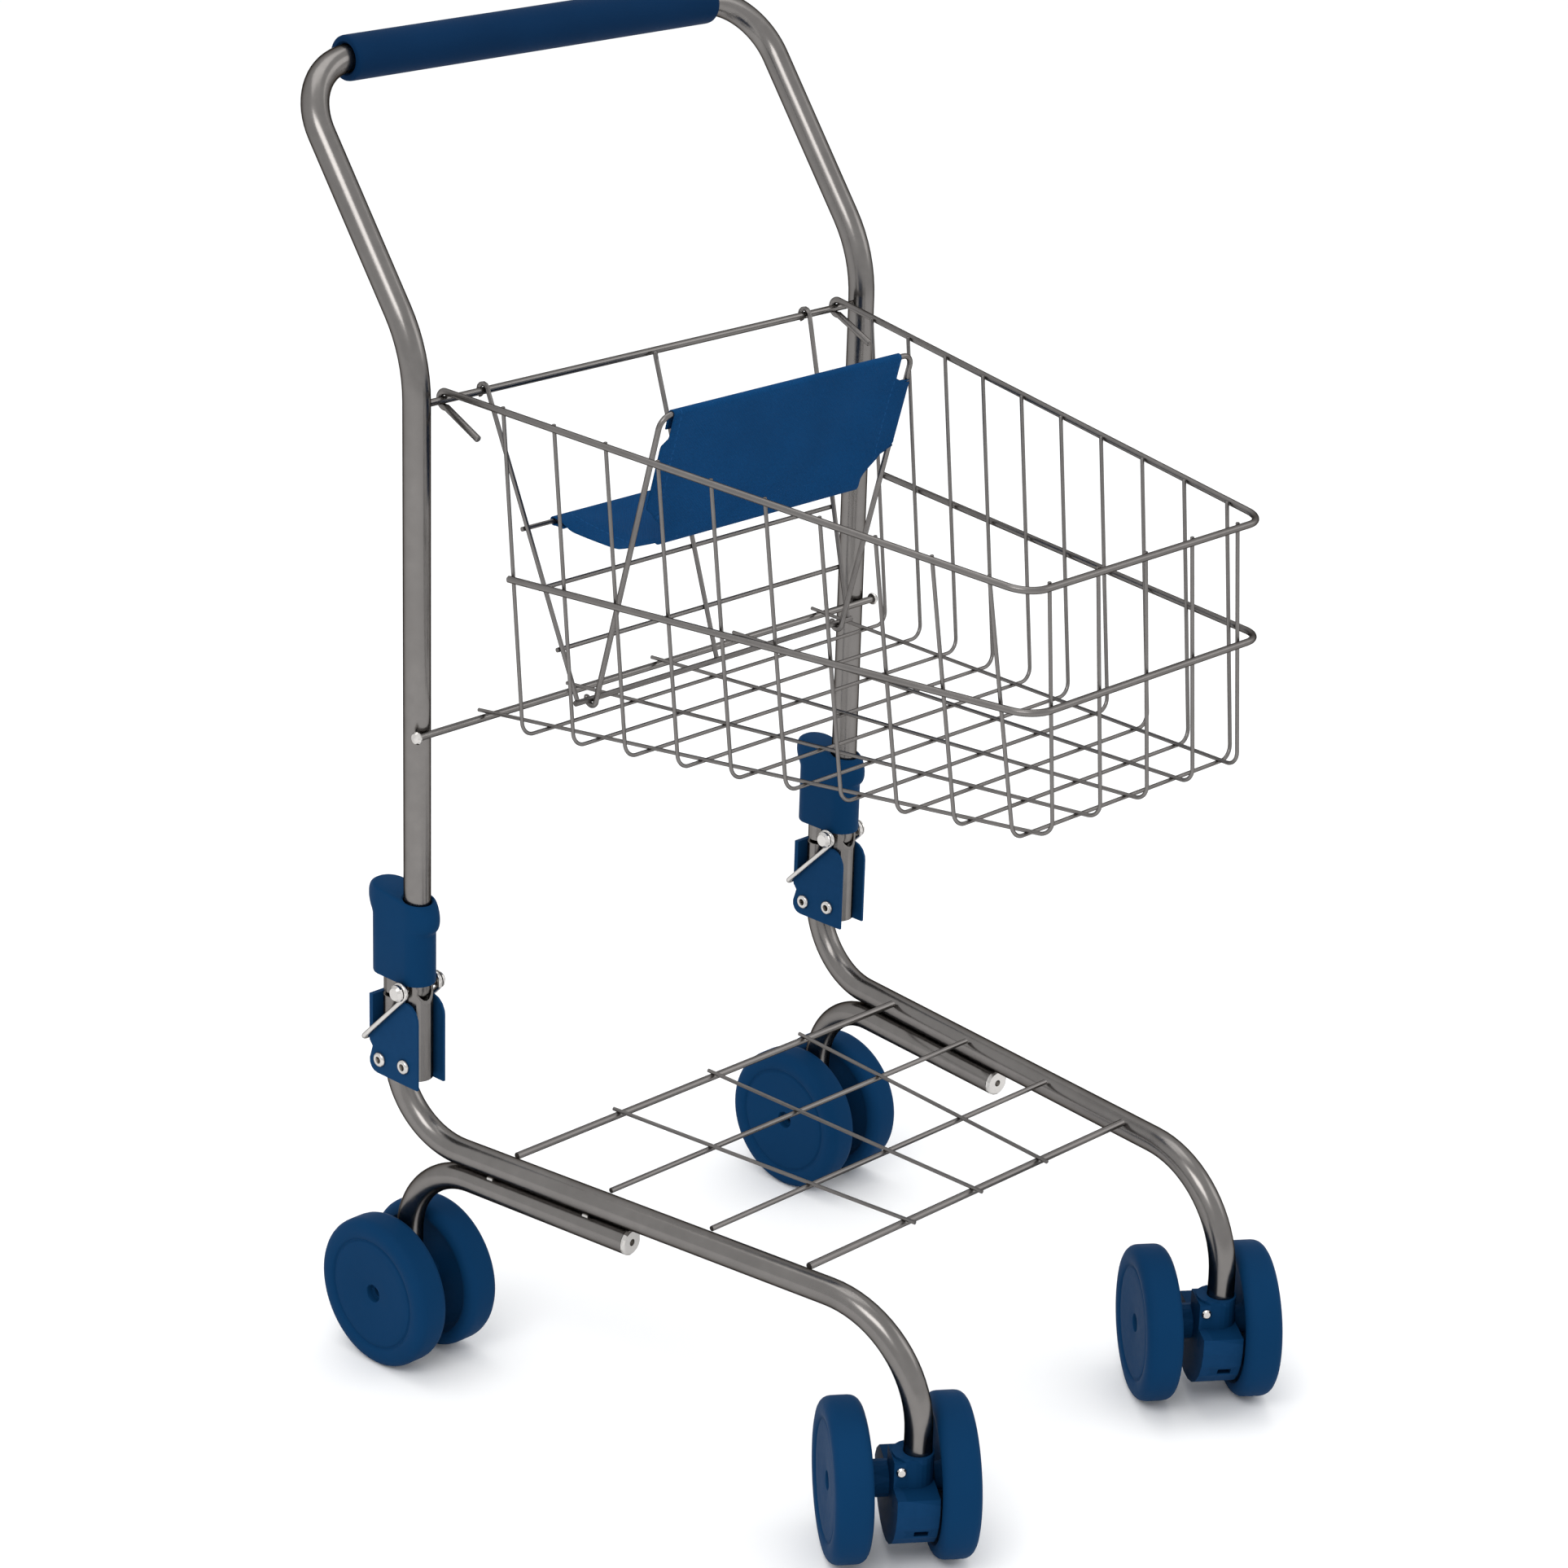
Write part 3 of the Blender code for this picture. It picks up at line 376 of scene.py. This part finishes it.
def tube(points, radius=TUBE_R, wall=TUBE_WALL, sides=32):
    """A hollow tube with a slightly broken edge round each open end."""
    loops = rings_along(points, [radius, radius - 0.2 * MM, radius - wall], sides)
    outer = [loop[0] for loop in loops]
    inner = [loop[2] for loop in reversed(loops)]
    ahead = (points[1] - points[0]).normalized() * 0.2 * MM
    back = (points[-2] - points[-1]).normalized() * 0.2 * MM
    ends = ([[p + ahead for p in outer[0]]], [[p + back for p in outer[-1]]])
    around = [loops[0][1]] + ends[0] + outer[1:-1] + ends[1] + [loops[-1][1]] + inner
    work = bmesh.new()
    rings = skin(work, around)
    first, last = rings[0], rings[-1]
    for i in range(sides):
        j = (i + 1) % sides
        work.faces.new((last[i], last[j], first[j], first[i]))
    return mesh_from(work)


def turned(profile, steps=64, closed=False):
    """A profile of (radius, height) points turned about Z."""
    work = bmesh.new()
    points = [work.verts.new((radius, 0, height)) for radius, height in profile]
    pairs = list(zip(points, points[1:]))
    if closed:
        pairs.append((points[-1], points[0]))
    edges = [work.edges.new(pair) for pair in pairs]
    bmesh.ops.spin(work, geom=points + edges, cent=(0, 0, 0), axis=(0, 0, 1),
                   angle=2 * math.pi, steps=steps, use_merge=True)
    bmesh.ops.remove_doubles(work, verts=work.verts, dist=1e-7)
    return mesh_from(work)


def placed(mesh, place, axis=(0, 0, 1)):
    lay = Vector((0, 0, 1)).rotation_difference(Vector(axis)).to_matrix().to_4x4()
    mesh.transform(Matrix.Translation(Vector(place)) @ lay)
    return mesh


def in_mm(profile):
    return [(r * MM, z * MM) for r, z in profile]


def centre_of(node):
    """The middle of a CAD part's box."""
    low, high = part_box(node)
    return (low + high) / 2


# Frame


def rail_x(y):
    """Half the distance between the rails, which draw together towards the nose."""
    share = (LOWER_TUBE_Y - y) / (LOWER_TUBE_Y - CASTER_Y)
    return UPRIGHT_X + (CASTER_X - UPRIGHT_X) * share


def handle():
    """The bent tube with its rounded feet, and the grip."""
    leg = [row(-UPRIGHT_X, 0, UPRIGHT_END_Z), row(-UPRIGHT_X, 0, KNEE_Z), row(-UPRIGHT_X, GRIP_Y, GRIP_Z)]
    points = rounded_path(leg + mirrored(leg), (KNEE_BEND, GRIP_BEND, GRIP_BEND, KNEE_BEND))
    rises = [Vector((0, 0, rise * MM)) for rise in (1, 2.2, 3.8, 5.5)]
    feet = [points[0] + rise for rise in rises], [points[-1] + rise for rise in reversed(rises)]
    mesh = tube([points[0], *feet[0], *points[1:-1], *feet[1], points[-1]])
    ball = TUBE_R + 0.05 * MM
    for vertex in mesh.vertices:
        depth = PIVOT_Z - vertex.co.z
        if depth > 0:
            share = math.sqrt(ball ** 2 - depth ** 2) / ball
            middle = row(math.copysign(UPRIGHT_X, vertex.co.x), 0, vertex.co.z)
            vertex.co = middle.lerp(vertex.co, share)
    shown("handle_tube", mesh, "upper_frame", "zinc_plated_steel")
    grip = [(6.3, -106), (7.2, -107), (8.6, -107), (9.2, -106.8), (9.55, -106.3), (9.72, -105.4)]
    grip.append((9.75, -104))
    profile = grip + [(r, -z) for r, z in reversed(grip)]
    mesh = placed(turned(in_mm(profile), 64, closed=True), row(0, GRIP_Y, GRIP_Z), (1, 0, 0))
    shown("handle_grip", mesh, "upper_frame", "blue_plastic", BLUE_GRIP)


def side_tube(side, name):
    """The tube from the hinge down, forward as a rail and down again to the caster."""
    rear, front = side * UPRIGHT_X, side * CASTER_X
    corners = [row(rear, LOWER_TUBE_Y, PIVOT_Z - 7.4 * MM), row(rear, LOWER_TUBE_Y, RAIL_Z),
               row(front, CASTER_Y, RAIL_Z), row(front, CASTER_Y, TUBE_FOOT_Z)]
    points = rounded_path(corners, (RAIL_REAR_BEND, RAIL_FRONT_BEND))
    shown(f"side_tube_{name}", tube(points), "lower_frame", "zinc_plated_steel")


def rear_leg(side, name):
    """The tube under the rail that bends down to the rear axle."""
    height = RAIL_Z - 2 * TUBE_R - 0.4 * MM
    axle = centre_of(f"rear_axle_{name}")
    ahead = row(side * rail_x(LEG_FRONT_Y), LEG_FRONT_Y, height)
    knee = row(axle.x, LEG_KNEE_Y, height)
    foot = axle + (axle - knee).normalized() * 8 * MM
    shown(f"rear_leg_{name}", tube(rounded_path([ahead, knee, foot], [LEG_BEND])), "lower_frame",
          "zinc_plated_steel")


def bracket_rivet(node):
    """A rivet with a rolled, ring-shaped head at each end of its hollow shank."""
    end = [(0, 4), (1.4, 4), (1.4, 9.4), (1.6, 9.9), (2.1, 10.1), (2.8, 9.9), (3.3, 9.3), (3.4, 8.6)]
    end.append((1.5, 8.6))
    profile = [(r, -z) for r, z in end] + [(r, z) for r, z in reversed(end)]
    mesh = placed(turned(in_mm(profile), 48), centre_of(node), (1, 0, 0))
    shown(node, mesh, "lower_frame", "zinc_plated_steel", BRIGHT_STEEL)


def sleeve_outline(grow, z, tilt, steps=24):
    """A long oval with its two ends drawn out, or all of it drawn in where grow is negative."""
    loop = []
    for centre, start in ((SLEEVE_REAR, -90), (0, 90)):
        for step in range(steps):
            a = math.radians(start + 180 * step / (steps - 1))
            x = (SLEEVE_R + min(grow, 0)) * math.sin(a)
            y = centre + (SLEEVE_R + grow) * math.cos(a)
            loop.append(Vector((x, y, z + tilt * SLEEVE_SLOPE * (y - SLEEVE_REAR))))
    return loop


def lock_sleeve(side, name):
    """A sliding oval sleeve with a finger knob at each end and a bore for the upright."""
    foot, lip, top, bulge = SLEEVE_FOOT_Z, SLEEVE_LIP_Z, SLEEVE_TOP_Z, 3.5 * MM
    levels = [(-0.8 * MM, foot, 0), (-0.25 * MM, foot + 0.25 * MM, 0), (0, foot + 0.9 * MM, 0),
              (0, lip - 1.5 * MM, 1), (0.3 * MM, lip - 0.4 * MM, 1)]
    for step in range(17):
        a = math.radians(-58 + 128 * step / 16)
        levels.append((bulge * (math.cos(a) - 0.25) / 0.75, lip + 6.4 * MM * (1 + math.sin(a)), 1))
    levels += [(-0.3 * MM, top - 0.3 * MM, 1), (-1.0 * MM, top, 1)]
    loops = [sleeve_outline(*level) for level in levels]
    bore = TUBE_R + 0.35 * MM
    steps = len(loops[0]) // 2
    angles = [math.radians(133 - 86 * i / (steps - 1)) for i in range(steps)]
    angles += [math.radians(41 - 262 * i / (steps - 1)) for i in range(steps)]
    wide, step_z = 7.1 * MM, PIVOT_Z + 7 * MM
    levels = [(top - 0.2 * MM, bore + 0.6 * MM, SLEEVE_SLOPE), (top - 0.8 * MM, bore, SLEEVE_SLOPE),
              (step_z + 0.1 * MM, bore, 0), (step_z, wide, 0), (foot, wide, 0)]
    for z, radius, tilt in levels:
        loop = [Vector((radius * math.cos(a), radius * math.sin(a), z)) for a in angles]
        loops.append([p + Vector((0, 0, tilt * (p.y - SLEEVE_REAR))) for p in loop])
    work = bmesh.new()
    rings = skin(work, loops)
    first, last = rings[0], rings[-1]
    for i in range(len(first)):
        j = (i + 1) % len(first)
        work.faces.new((last[i], last[j], first[j], first[i]))
    mesh = placed(mesh_from(work), row(side * UPRIGHT_X, 0, 0))
    shown(f"lock_sleeve_{name}", mesh, f"sleeve_{name}", "blue_plastic")


def bail(side, name):
    """A wire loop that hangs behind the bracket from the two ends of the pivot bolt."""
    ring = hook(-10 * MM, 0, PIVOT_Z, 3.5 * MM, -409.6, -139.6, 30)
    foot_y, foot_z = UPRIGHT_Y + 25.5 * MM, PIVOT_Z - 30 * MM
    corners = [ring[-1], Vector((-10 * MM, foot_y, foot_z)), Vector((10 * MM, foot_y, foot_z)),
               Vector((10 * MM, *ring[-1].yz))]
    arms = rounded_path(corners, (3 * MM, 3 * MM), math.radians(10))
    path = ring + arms[1:-1] + mirrored(ring)
    points = [p + Vector((side * UPRIGHT_X, 0, 0)) for p in path]
    mesh = wires((points, 1.2 * MM), sides=16)
    shown(f"bail_{name}", mesh, f"bail_{name}", "zinc_plated_wire", BRIGHT_STEEL)


def wheel(node, outward, turn=0.0):
    """A broad moulded wheel: rounded tread, dished face with a fine ring, hollow inner side."""
    rim = [(29.5, 8.2), (31.0, 8.12), (32.3, 7.75), (33.4, 7.05), (34.2, 6.1), (34.7, 4.9), (34.88, 3.6)]
    outer = [(2.58, 3.4), (3.7, 3.4), (3.9, 3.6), (4.0, 4.0), (4.0, 6.1), (4.25, 6.55), (4.8, 6.66),
             (12, 6.9), (20, 7.15), (24.4, 7.4), (24.8, 7.3), (25.2, 6.95), (25.9, 6.95), (26.3, 7.4),
             (26.7, 7.75), (28.2, 8.1)]
    inner = [(28.9, -8.0), (28.55, -7.4), (27.8, -5.6), (26.6, -3.5), (25.8, -3.05), (25.0, -2.95),
             (16, -2.5), (7.2, -2.05), (6.6, -2.25), (6.3, -2.8), (5.7, -6.6), (5.3, -7.0), (2.58, -7.0)]
    profile = outer + rim + [(34.9, 0)] + [(r, -z) for r, z in reversed(rim)] + inner
    mesh = placed(turned(in_mm(profile), 96, closed=True), (0, 0, 0), (outward, 0, 0))
    mesh.transform(Matrix.Rotation(turn, 4, "Z"))
    shown(node, placed(mesh, centre_of(node)), node, "blue_plastic")


def softened(node, width=0.5 * MM):
    """Rounds off a CAD part's edges."""
    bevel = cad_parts[node].modifiers.new("edges", "BEVEL")
    bevel.width = width
    bevel.segments = 3
    bevel.limit_method = "ANGLE"
    bevel.angle_limit = math.radians(40)
    bevel.harden_normals = True


# Basket


def rim_x(y):
    """Half the basket's width at the rim, which narrows towards the nose."""
    return RIM_REAR_X + RIM_TAPER * y


def rim_z(y):
    """The rim's height, which sinks towards the nose."""
    return UPPER_BAR_Z + BAR_R + RIM_R + GAP + RIM_SLOPE * y


def floor_z(y):
    """The height of the floor's lengthwise wires, which climb towards the nose."""
    return LOWER_BAR_Z + BAR_R + CAGE_R + 0.6 * MM - FLOOR_SLOPE * (y - LOWER_BAR_Y)


def basket():
    """The rim with its two curls round the crossbar, the band, the hoops and the floor wires."""
    front = RIM_FRONT_Y
    curl = hook(-RIM_REAR_X, 0, UPPER_BAR_Z, BAR_R + RIM_R + GAP, -105, 90, 24)
    corner = row(-rim_x(front), front, rim_z(front))
    side = rounded_path([curl[-1], corner, row(0, front, rim_z(front))], [CORNER_BEND])
    half = [row(-RIM_REAR_X, -20.8 * MM, 432 * MM)] + curl + side[1:-1]
    shown("basket_rim", wires((half + mirrored(half), RIM_R), sides=16), "basket", "zinc_plated_wire")
    x, y, z = 71.6 * MM, -287.6 * MM, 372 * MM
    rear = row(-115.6 * MM, -35.3 * MM, 374.2 * MM)
    half = rounded_path([rear, row(-x, y, z), row(0, y, z)], [CORNER_BEND])[:-1]
    shown("basket_band", wires((half + mirrored(half), RIM_R), sides=16), "basket", "zinc_plated_wire")
    runs = []
    for index in range(HOOPS):
        share = index / (HOOPS - 1)
        top_y = (-27.8 + (-263.2 + 27.8) * share) * MM
        foot_x, foot_y = (113.2 + (68.7 - 113.2) * share) * MM, (-42.8 + (-278 + 42.8) * share) * MM
        top = row(rim_x(top_y) - RIM_R - CAGE_R - GAP, top_y, rim_z(top_y) + MM)
        foot = row(foot_x, foot_y, floor_z(foot_y) - 2 * CAGE_R + 0.4 * MM)
        corners = mirrored([foot, top]) + [foot, top]
        runs.append((rounded_path(corners, (CAGE_BEND, CAGE_BEND), math.radians(10)), CAGE_R))
    for share in range(-2, 3):
        top_y, low_y, rear_y = front + RIM_R + CAGE_R + GAP, -289.6 * MM, -4.5 * MM
        front_x = share * 29.2 * MM
        corners = [row(share * 52 * MM, rear_y, floor_z(rear_y)), row(front_x, low_y, floor_z(low_y)),
                   row(front_x, top_y, rim_z(top_y) + MM)]
        runs.append((rounded_path(corners, [CAGE_BEND], math.radians(10)), CAGE_R))
    shown("basket_cage", wires(*runs), "basket", "zinc_plated_wire")


# Doll's seat

HINGE_Y, HINGE_Z = -46 * MM, 314.5 * MM
HINGE_ROD_R = 1.3 * MM
SEAT_X = 76.5 * MM
TOP_Y, TOP_Z = -85 * MM, 448.2 * MM
FRAME_FOOT_Y = HINGE_Y - HINGE_ROD_R - SEAT_WIRE_R - GAP
BACK_DIR = Vector((0, TOP_Y - FRAME_FOOT_Y, TOP_Z - HINGE_Z)).normalized()
BACK_FRONT = Vector((0, -BACK_DIR.z, BACK_DIR.y))
CROSS_Z = 387.7 * MM
THICK = 0.6 * MM
CLOTH_GAP = 0.35 * MM
SIDE_WRAP = SEAT_WIRE_R + CLOTH_GAP
HEM = math.pi * SIDE_WRAP + 4 * MM
FOLD_Y = UPRIGHT_Y - 66 * MM


def seat_back_frame():
    """An upside-down U of wire whose feet loop round the flap's bottom rod."""
    loop = hook(-SEAT_X, HINGE_Y, HINGE_Z, HINGE_ROD_R + SEAT_WIRE_R + GAP, 20, -180, 20)
    corners = [loop[-1], row(-SEAT_X, TOP_Y, TOP_Z), row(0, TOP_Y, TOP_Z)]
    half = loop + rounded_path(corners, [6 * MM])[1:-1]
    shown("seat_back_frame", wires((half + mirrored(half), SEAT_WIRE_R), sides=16), "seat_back",
          "zinc_plated_wire")


def flap_tip():
    """The top of the flap's middle wire, which lies against the crossbar."""
    top = row(0, -BAR_R - GAP - FLAP_R, UPPER_BAR_Z)
    start = top.lerp(row(0, HINGE_Y, HINGE_Z - FLAP_R), 0.022)
    mesh = wires(([start, top + Vector((0, 0, 0.6 * MM))], FLAP_R), sides=16)
    shown("flap_tip", mesh, "flap", "zinc_plated_wire", nodes=())


def smooth(value):
    """An even ramp from 0 to 1, level at both ends."""
    value = max(0.0, min(1.0, value))
    return value * value * (3 - 2 * value)


def sling_line():
    """The sling's middle line from the rear cross wire forward, up the back and over the top wire."""
    cross_y = -BAR_R - GAP - FLAP_R
    cross_y += (HINGE_Y - cross_y) * (UPPER_BAR_Z - CROSS_Z) / (UPPER_BAR_Z - HINGE_Z) + 1.8 * MM
    wrap, top_wrap = FLAP_R + 0.65 * MM, SEAT_WIRE_R + CLOTH_GAP
    points = [row(0, cross_y - (6 - 1.5 * i) * MM, CROSS_Z - wrap + 0.15 * MM) for i in range(4)]
    points += hook(0, cross_y, CROSS_Z, wrap, -90, 90, 12)
    seat_start = points[-1]
    base = row(0, FRAME_FOOT_Y, HINGE_Z)
    lift = (CROSS_Z - 1.5 * MM - HINGE_Z) / BACK_DIR.z
    fold = base + BACK_DIR * lift + BACK_FRONT * top_wrap
    fold_top = fold + BACK_DIR * 3 * MM
    inner = Vector((0, fold.y + 3.2 * MM, seat_start.z - 3.2 * MM))
    for i in range(1, 24):
        t = i / 23
        sag = 4 * t * (1 - t) * 1.2 * MM
        points.append(seat_start.lerp(inner, t) - Vector((0, 0, sag)))
    for i in range(1, 6):
        t = i / 6
        low, high = inner.lerp(fold, t), fold.lerp(fold_top, t)
        points.append(low * (1 - t) + high * t - Vector((0, 0, 0.4 * MM)) * (1 - t))
    top = row(0, TOP_Y, TOP_Z)
    back_end = top + BACK_FRONT * top_wrap
    for i in range(0, 46):
        points.append(fold_top.lerp(back_end, i / 45))
    for i in range(1, 13):
        a = math.pi * i / 12
        points.append(top + BACK_FRONT * math.cos(a) * top_wrap + BACK_DIR * math.sin(a) * top_wrap)
    for i in range(1, 5):
        points.append(points[-1] - BACK_DIR * 2 * MM)
    return points


def sling_halves(point):
    """How far the cloth reaches to the left and right of its middle, and how far it is held."""
    if point.y < FOLD_Y:
        held = smooth((point.z - 402 * MM) / (4 * MM)) * smooth((438 * MM - point.z) / (4 * MM))
        inset = 70.5 * MM - 10 * MM * smooth((404 * MM - point.z) / (13 * MM))
        high = 3 * MM * smooth((point.z - 435 * MM) / (4 * MM))
        return [inset + 4 * MM * held, inset - high + (SEAT_X + HEM - inset) * held], held
    back = smooth((point.y - FOLD_Y) / (44 * MM))
    out = smooth((point.y - FOLD_Y) / (7 * MM))
    return [60.5 * MM + 13 * MM * out + 2 * MM * back, 60.5 * MM + 11 * MM * out + 3 * MM * back], 0.0


def sling_place(point, along, t, half, held):
    """A place on the cloth, t going from -1 to 1 across it, and its distance across when flat."""
    reach = abs(t) * (half[0] if t < 0 else half[1])
    sign = -1 if t < 0 else 1
    flat_x = sign * reach
    depth, x = 0.0, reach
    if reach > SEAT_X and held > 0 and sign > 0:
        over = reach - SEAT_X
        a = over / SIDE_WRAP
        if a < math.pi:
            x, depth = SEAT_X + SIDE_WRAP * math.sin(a), SIDE_WRAP * (1 - math.cos(a))
        else:
            x, depth = SEAT_X - (over - math.pi * SIDE_WRAP), 2 * SIDE_WRAP
    place = Vector((sign * x, point.y, point.z))
    if point.y < FOLD_Y:
        up = (point.z - CROSS_Z) / (TOP_Z - CROSS_Z)
        calm = smooth((1 - abs(t)) * 6) * smooth((1 - up) * 6) * smooth(up * 8)
        crease = noise.noise(Vector((flat_x * 38, along * 22, 3.1))) * 1.1 * MM
        pull = math.sin(flat_x * 330 + along * 90) * 0.16 * MM * smooth((abs(t) - 0.5) * 3)
        dish = (1 - t * t) * 4 * up * (1 - up) * 1.6 * MM
        place += BACK_FRONT * ((crease + pull - dish) * calm - depth)
    elif point.z > CROSS_Z - 6 * MM:
        from_ends = smooth((point.y - UPRIGHT_Y + 70 * MM) / (16 * MM))
        from_ends *= smooth((-24 * MM - point.y + UPRIGHT_Y) / (8 * MM))
        crease = noise.noise(Vector((flat_x * 45, along * 40, 7.7))) * 1.2 * MM
        droop = smooth((abs(t) - 0.8) * 5) * 2.2 * MM
        place += Vector((0, 0, (crease - droop - (1 - t * t) * 0.8 * MM) * from_ends))
    return place, flat_x


def thickened(obj):
    """Gives a single-layer cloth its thickness."""
    shell = obj.modifiers.new("cloth", "SOLIDIFY")
    shell.thickness = THICK
    shell.offset = 0
    bpy.context.view_layer.update()
    graph = bpy.context.evaluated_depsgraph_get()
    solid = bpy.data.meshes.new_from_object(obj.evaluated_get(graph))
    obj.modifiers.clear()
    obj.data = solid
    solid.name = obj.name


def sling():
    """One strip of cloth. Its back part also wraps the frame's right side wire along its middle."""
    line = sling_line()
    length = [0.0]
    for a, b in zip(line, line[1:]):
        length.append(length[-1] + (b - a).length)
    columns = 96
    work = bmesh.new()
    uv = work.loops.layers.uv.new("cloth")
    flat, grid, area, width_before = {}, [], 0.0, 0.0
    for index, (point, along) in enumerate(zip(line, length)):
        half, held = sling_halves(point)
        cells = []
        for column in range(columns + 1):
            place, flat_x = sling_place(point, along, 2 * column / columns - 1, half, held)
            vertex = work.verts.new(place)
            flat[vertex] = (flat_x, along)
            cells.append(vertex)
        grid.append(cells)
        if index:
            area += (along - length[index - 1]) * (sum(half) + width_before) / 2
        width_before = sum(half)
    cut_y = UPRIGHT_Y - 30 * MM
    for low, high in zip(grid, grid[1:]):
        for i in range(columns):
            corners = (low[i], low[i + 1], high[i + 1], high[i])
            middle = sum((v.co for v in corners), Vector()) / 4
            if abs(middle.x) < 3 * MM and middle.y > cut_y:
                continue
            face = work.faces.new(corners)
            for loop in face.loops:
                loop[uv].uv = flat[loop.vert]
    loose = [v for v in work.verts if not v.link_faces]
    bmesh.ops.delete(work, geom=loose, context="VERTS")
    mesh = bpy.data.meshes.new("doll_seat_sling")
    work.to_mesh(mesh)
    work.free()
    mesh.shade_smooth()
    mesh.materials.append(CLOTH)
    obj = bpy.data.objects.new("doll_seat_sling", mesh)
    bpy.context.scene.collection.objects.link(obj)
    thickened(obj)
    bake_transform(obj)
    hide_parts("seat_panel", "seat_back_panel")


# Camera and light


def area_light(name, place, target, size, power, colour=(1, 1, 1)):
    light = bpy.data.lights.new(name, "AREA")
    light.shape = "RECTANGLE"
    light.size, light.size_y = size
    light.energy = power
    light.color = colour
    obj = bpy.data.objects.new(name, light)
    bpy.context.scene.collection.objects.link(obj)
    obj.location = place
    obj.rotation_euler = (Vector(target) - Vector(place)).to_track_quat("-Z", "Y").to_euler()


def studio():
    work = bmesh.new()
    bmesh.ops.create_grid(work, x_segments=2, y_segments=2, size=9)
    floor = bpy.data.objects.new("floor", mesh_from(work, "floor"))
    floor.data.materials.append(matt("pale_floor", (0.97, 0.97, 0.97)))
    bpy.context.scene.collection.objects.link(floor)
    world = bpy.data.worlds.new("studio")
    bpy.context.scene.world = world
    world.use_nodes = True
    back = world.node_tree.nodes["Background"]
    back.inputs["Color"].default_value = (0.98, 0.99, 1.0, 1)
    back.inputs["Strength"].default_value = 1.0
    area_light("key", (-1.9, -0.9, 2.3), (0, 0, 0.25), (1.6, 1.1), 26)
    area_light("fill", (2.2, -1.6, 1.6), (0, 0, 0.25), (1.4, 1.4), 8)
    area_light("top", (0.2, 0.4, 2.8), (0, 0, 0.2), (2.2, 1.4), 14)


def camera():
    data = bpy.data.cameras.new("camera")
    data.lens = 95.66
    data.sensor_width = 36
    obj = bpy.data.objects.new("camera", data)
    bpy.context.scene.collection.objects.link(obj)
    right, up = Vector((0.69437, -0.71898, 0.03028)), Vector((0.23871, 0.26983, 0.93285))
    back = right.cross(up)
    turn = Matrix((right, up, back)).transposed().to_4x4()
    obj.matrix_world = Matrix.Translation((-1.2379, -1.1481, 0.9228)) @ turn
    data.clip_start, data.clip_end = 0.05, 60
    bpy.context.scene.camera = obj


def slots_of_nodes():
    """Gives each CAD part that stays the finish picked by its slot name, and softens the edges of the
    caster housings and hinge brackets.
    """
    for node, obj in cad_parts.items():
        if obj.hide_render:
            continue
        steel_part = not node.startswith(("caster_housing", "hinge_bracket"))
        wire_part = node in ("shelf_rack", "flap_frame")
        slot = "zinc_plated_wire" if wire_part else "zinc_plated_steel" if steel_part else "blue_plastic"
        bright = node.startswith(("pivot_bolt", "caster_pin", "leg_weld", "leg_cap", "crossbar_screw"))
        obj.data.materials.clear()
        obj.data.materials.append(BRIGHT_STEEL if bright else FINISH[slot])
        if node.startswith(("caster_housing", "hinge_bracket")):
            softened(node, 0.45 * MM)


bpy.context.scene.view_settings.view_transform = "Standard"
handle()
for side, name in SIDES:
    side_tube(side, name)
    rear_leg(side, name)
    lock_sleeve(side, name)
    bail(side, name)
    bracket_rivet(f"bracket_rivet_front_{name}")
    bracket_rivet(f"bracket_rivet_rear_{name}")
    wheel(f"rear_wheel_outer_{name}", side)
    wheel(f"rear_wheel_inner_{name}", -side)
    wheel(f"caster_wheel_a_{name}", -1, CASTER_TURN)
    wheel(f"caster_wheel_b_{name}", 1, CASTER_TURN)
basket()
seat_back_frame()
flap_tip()
sling()
slots_of_nodes()
studio()
camera()
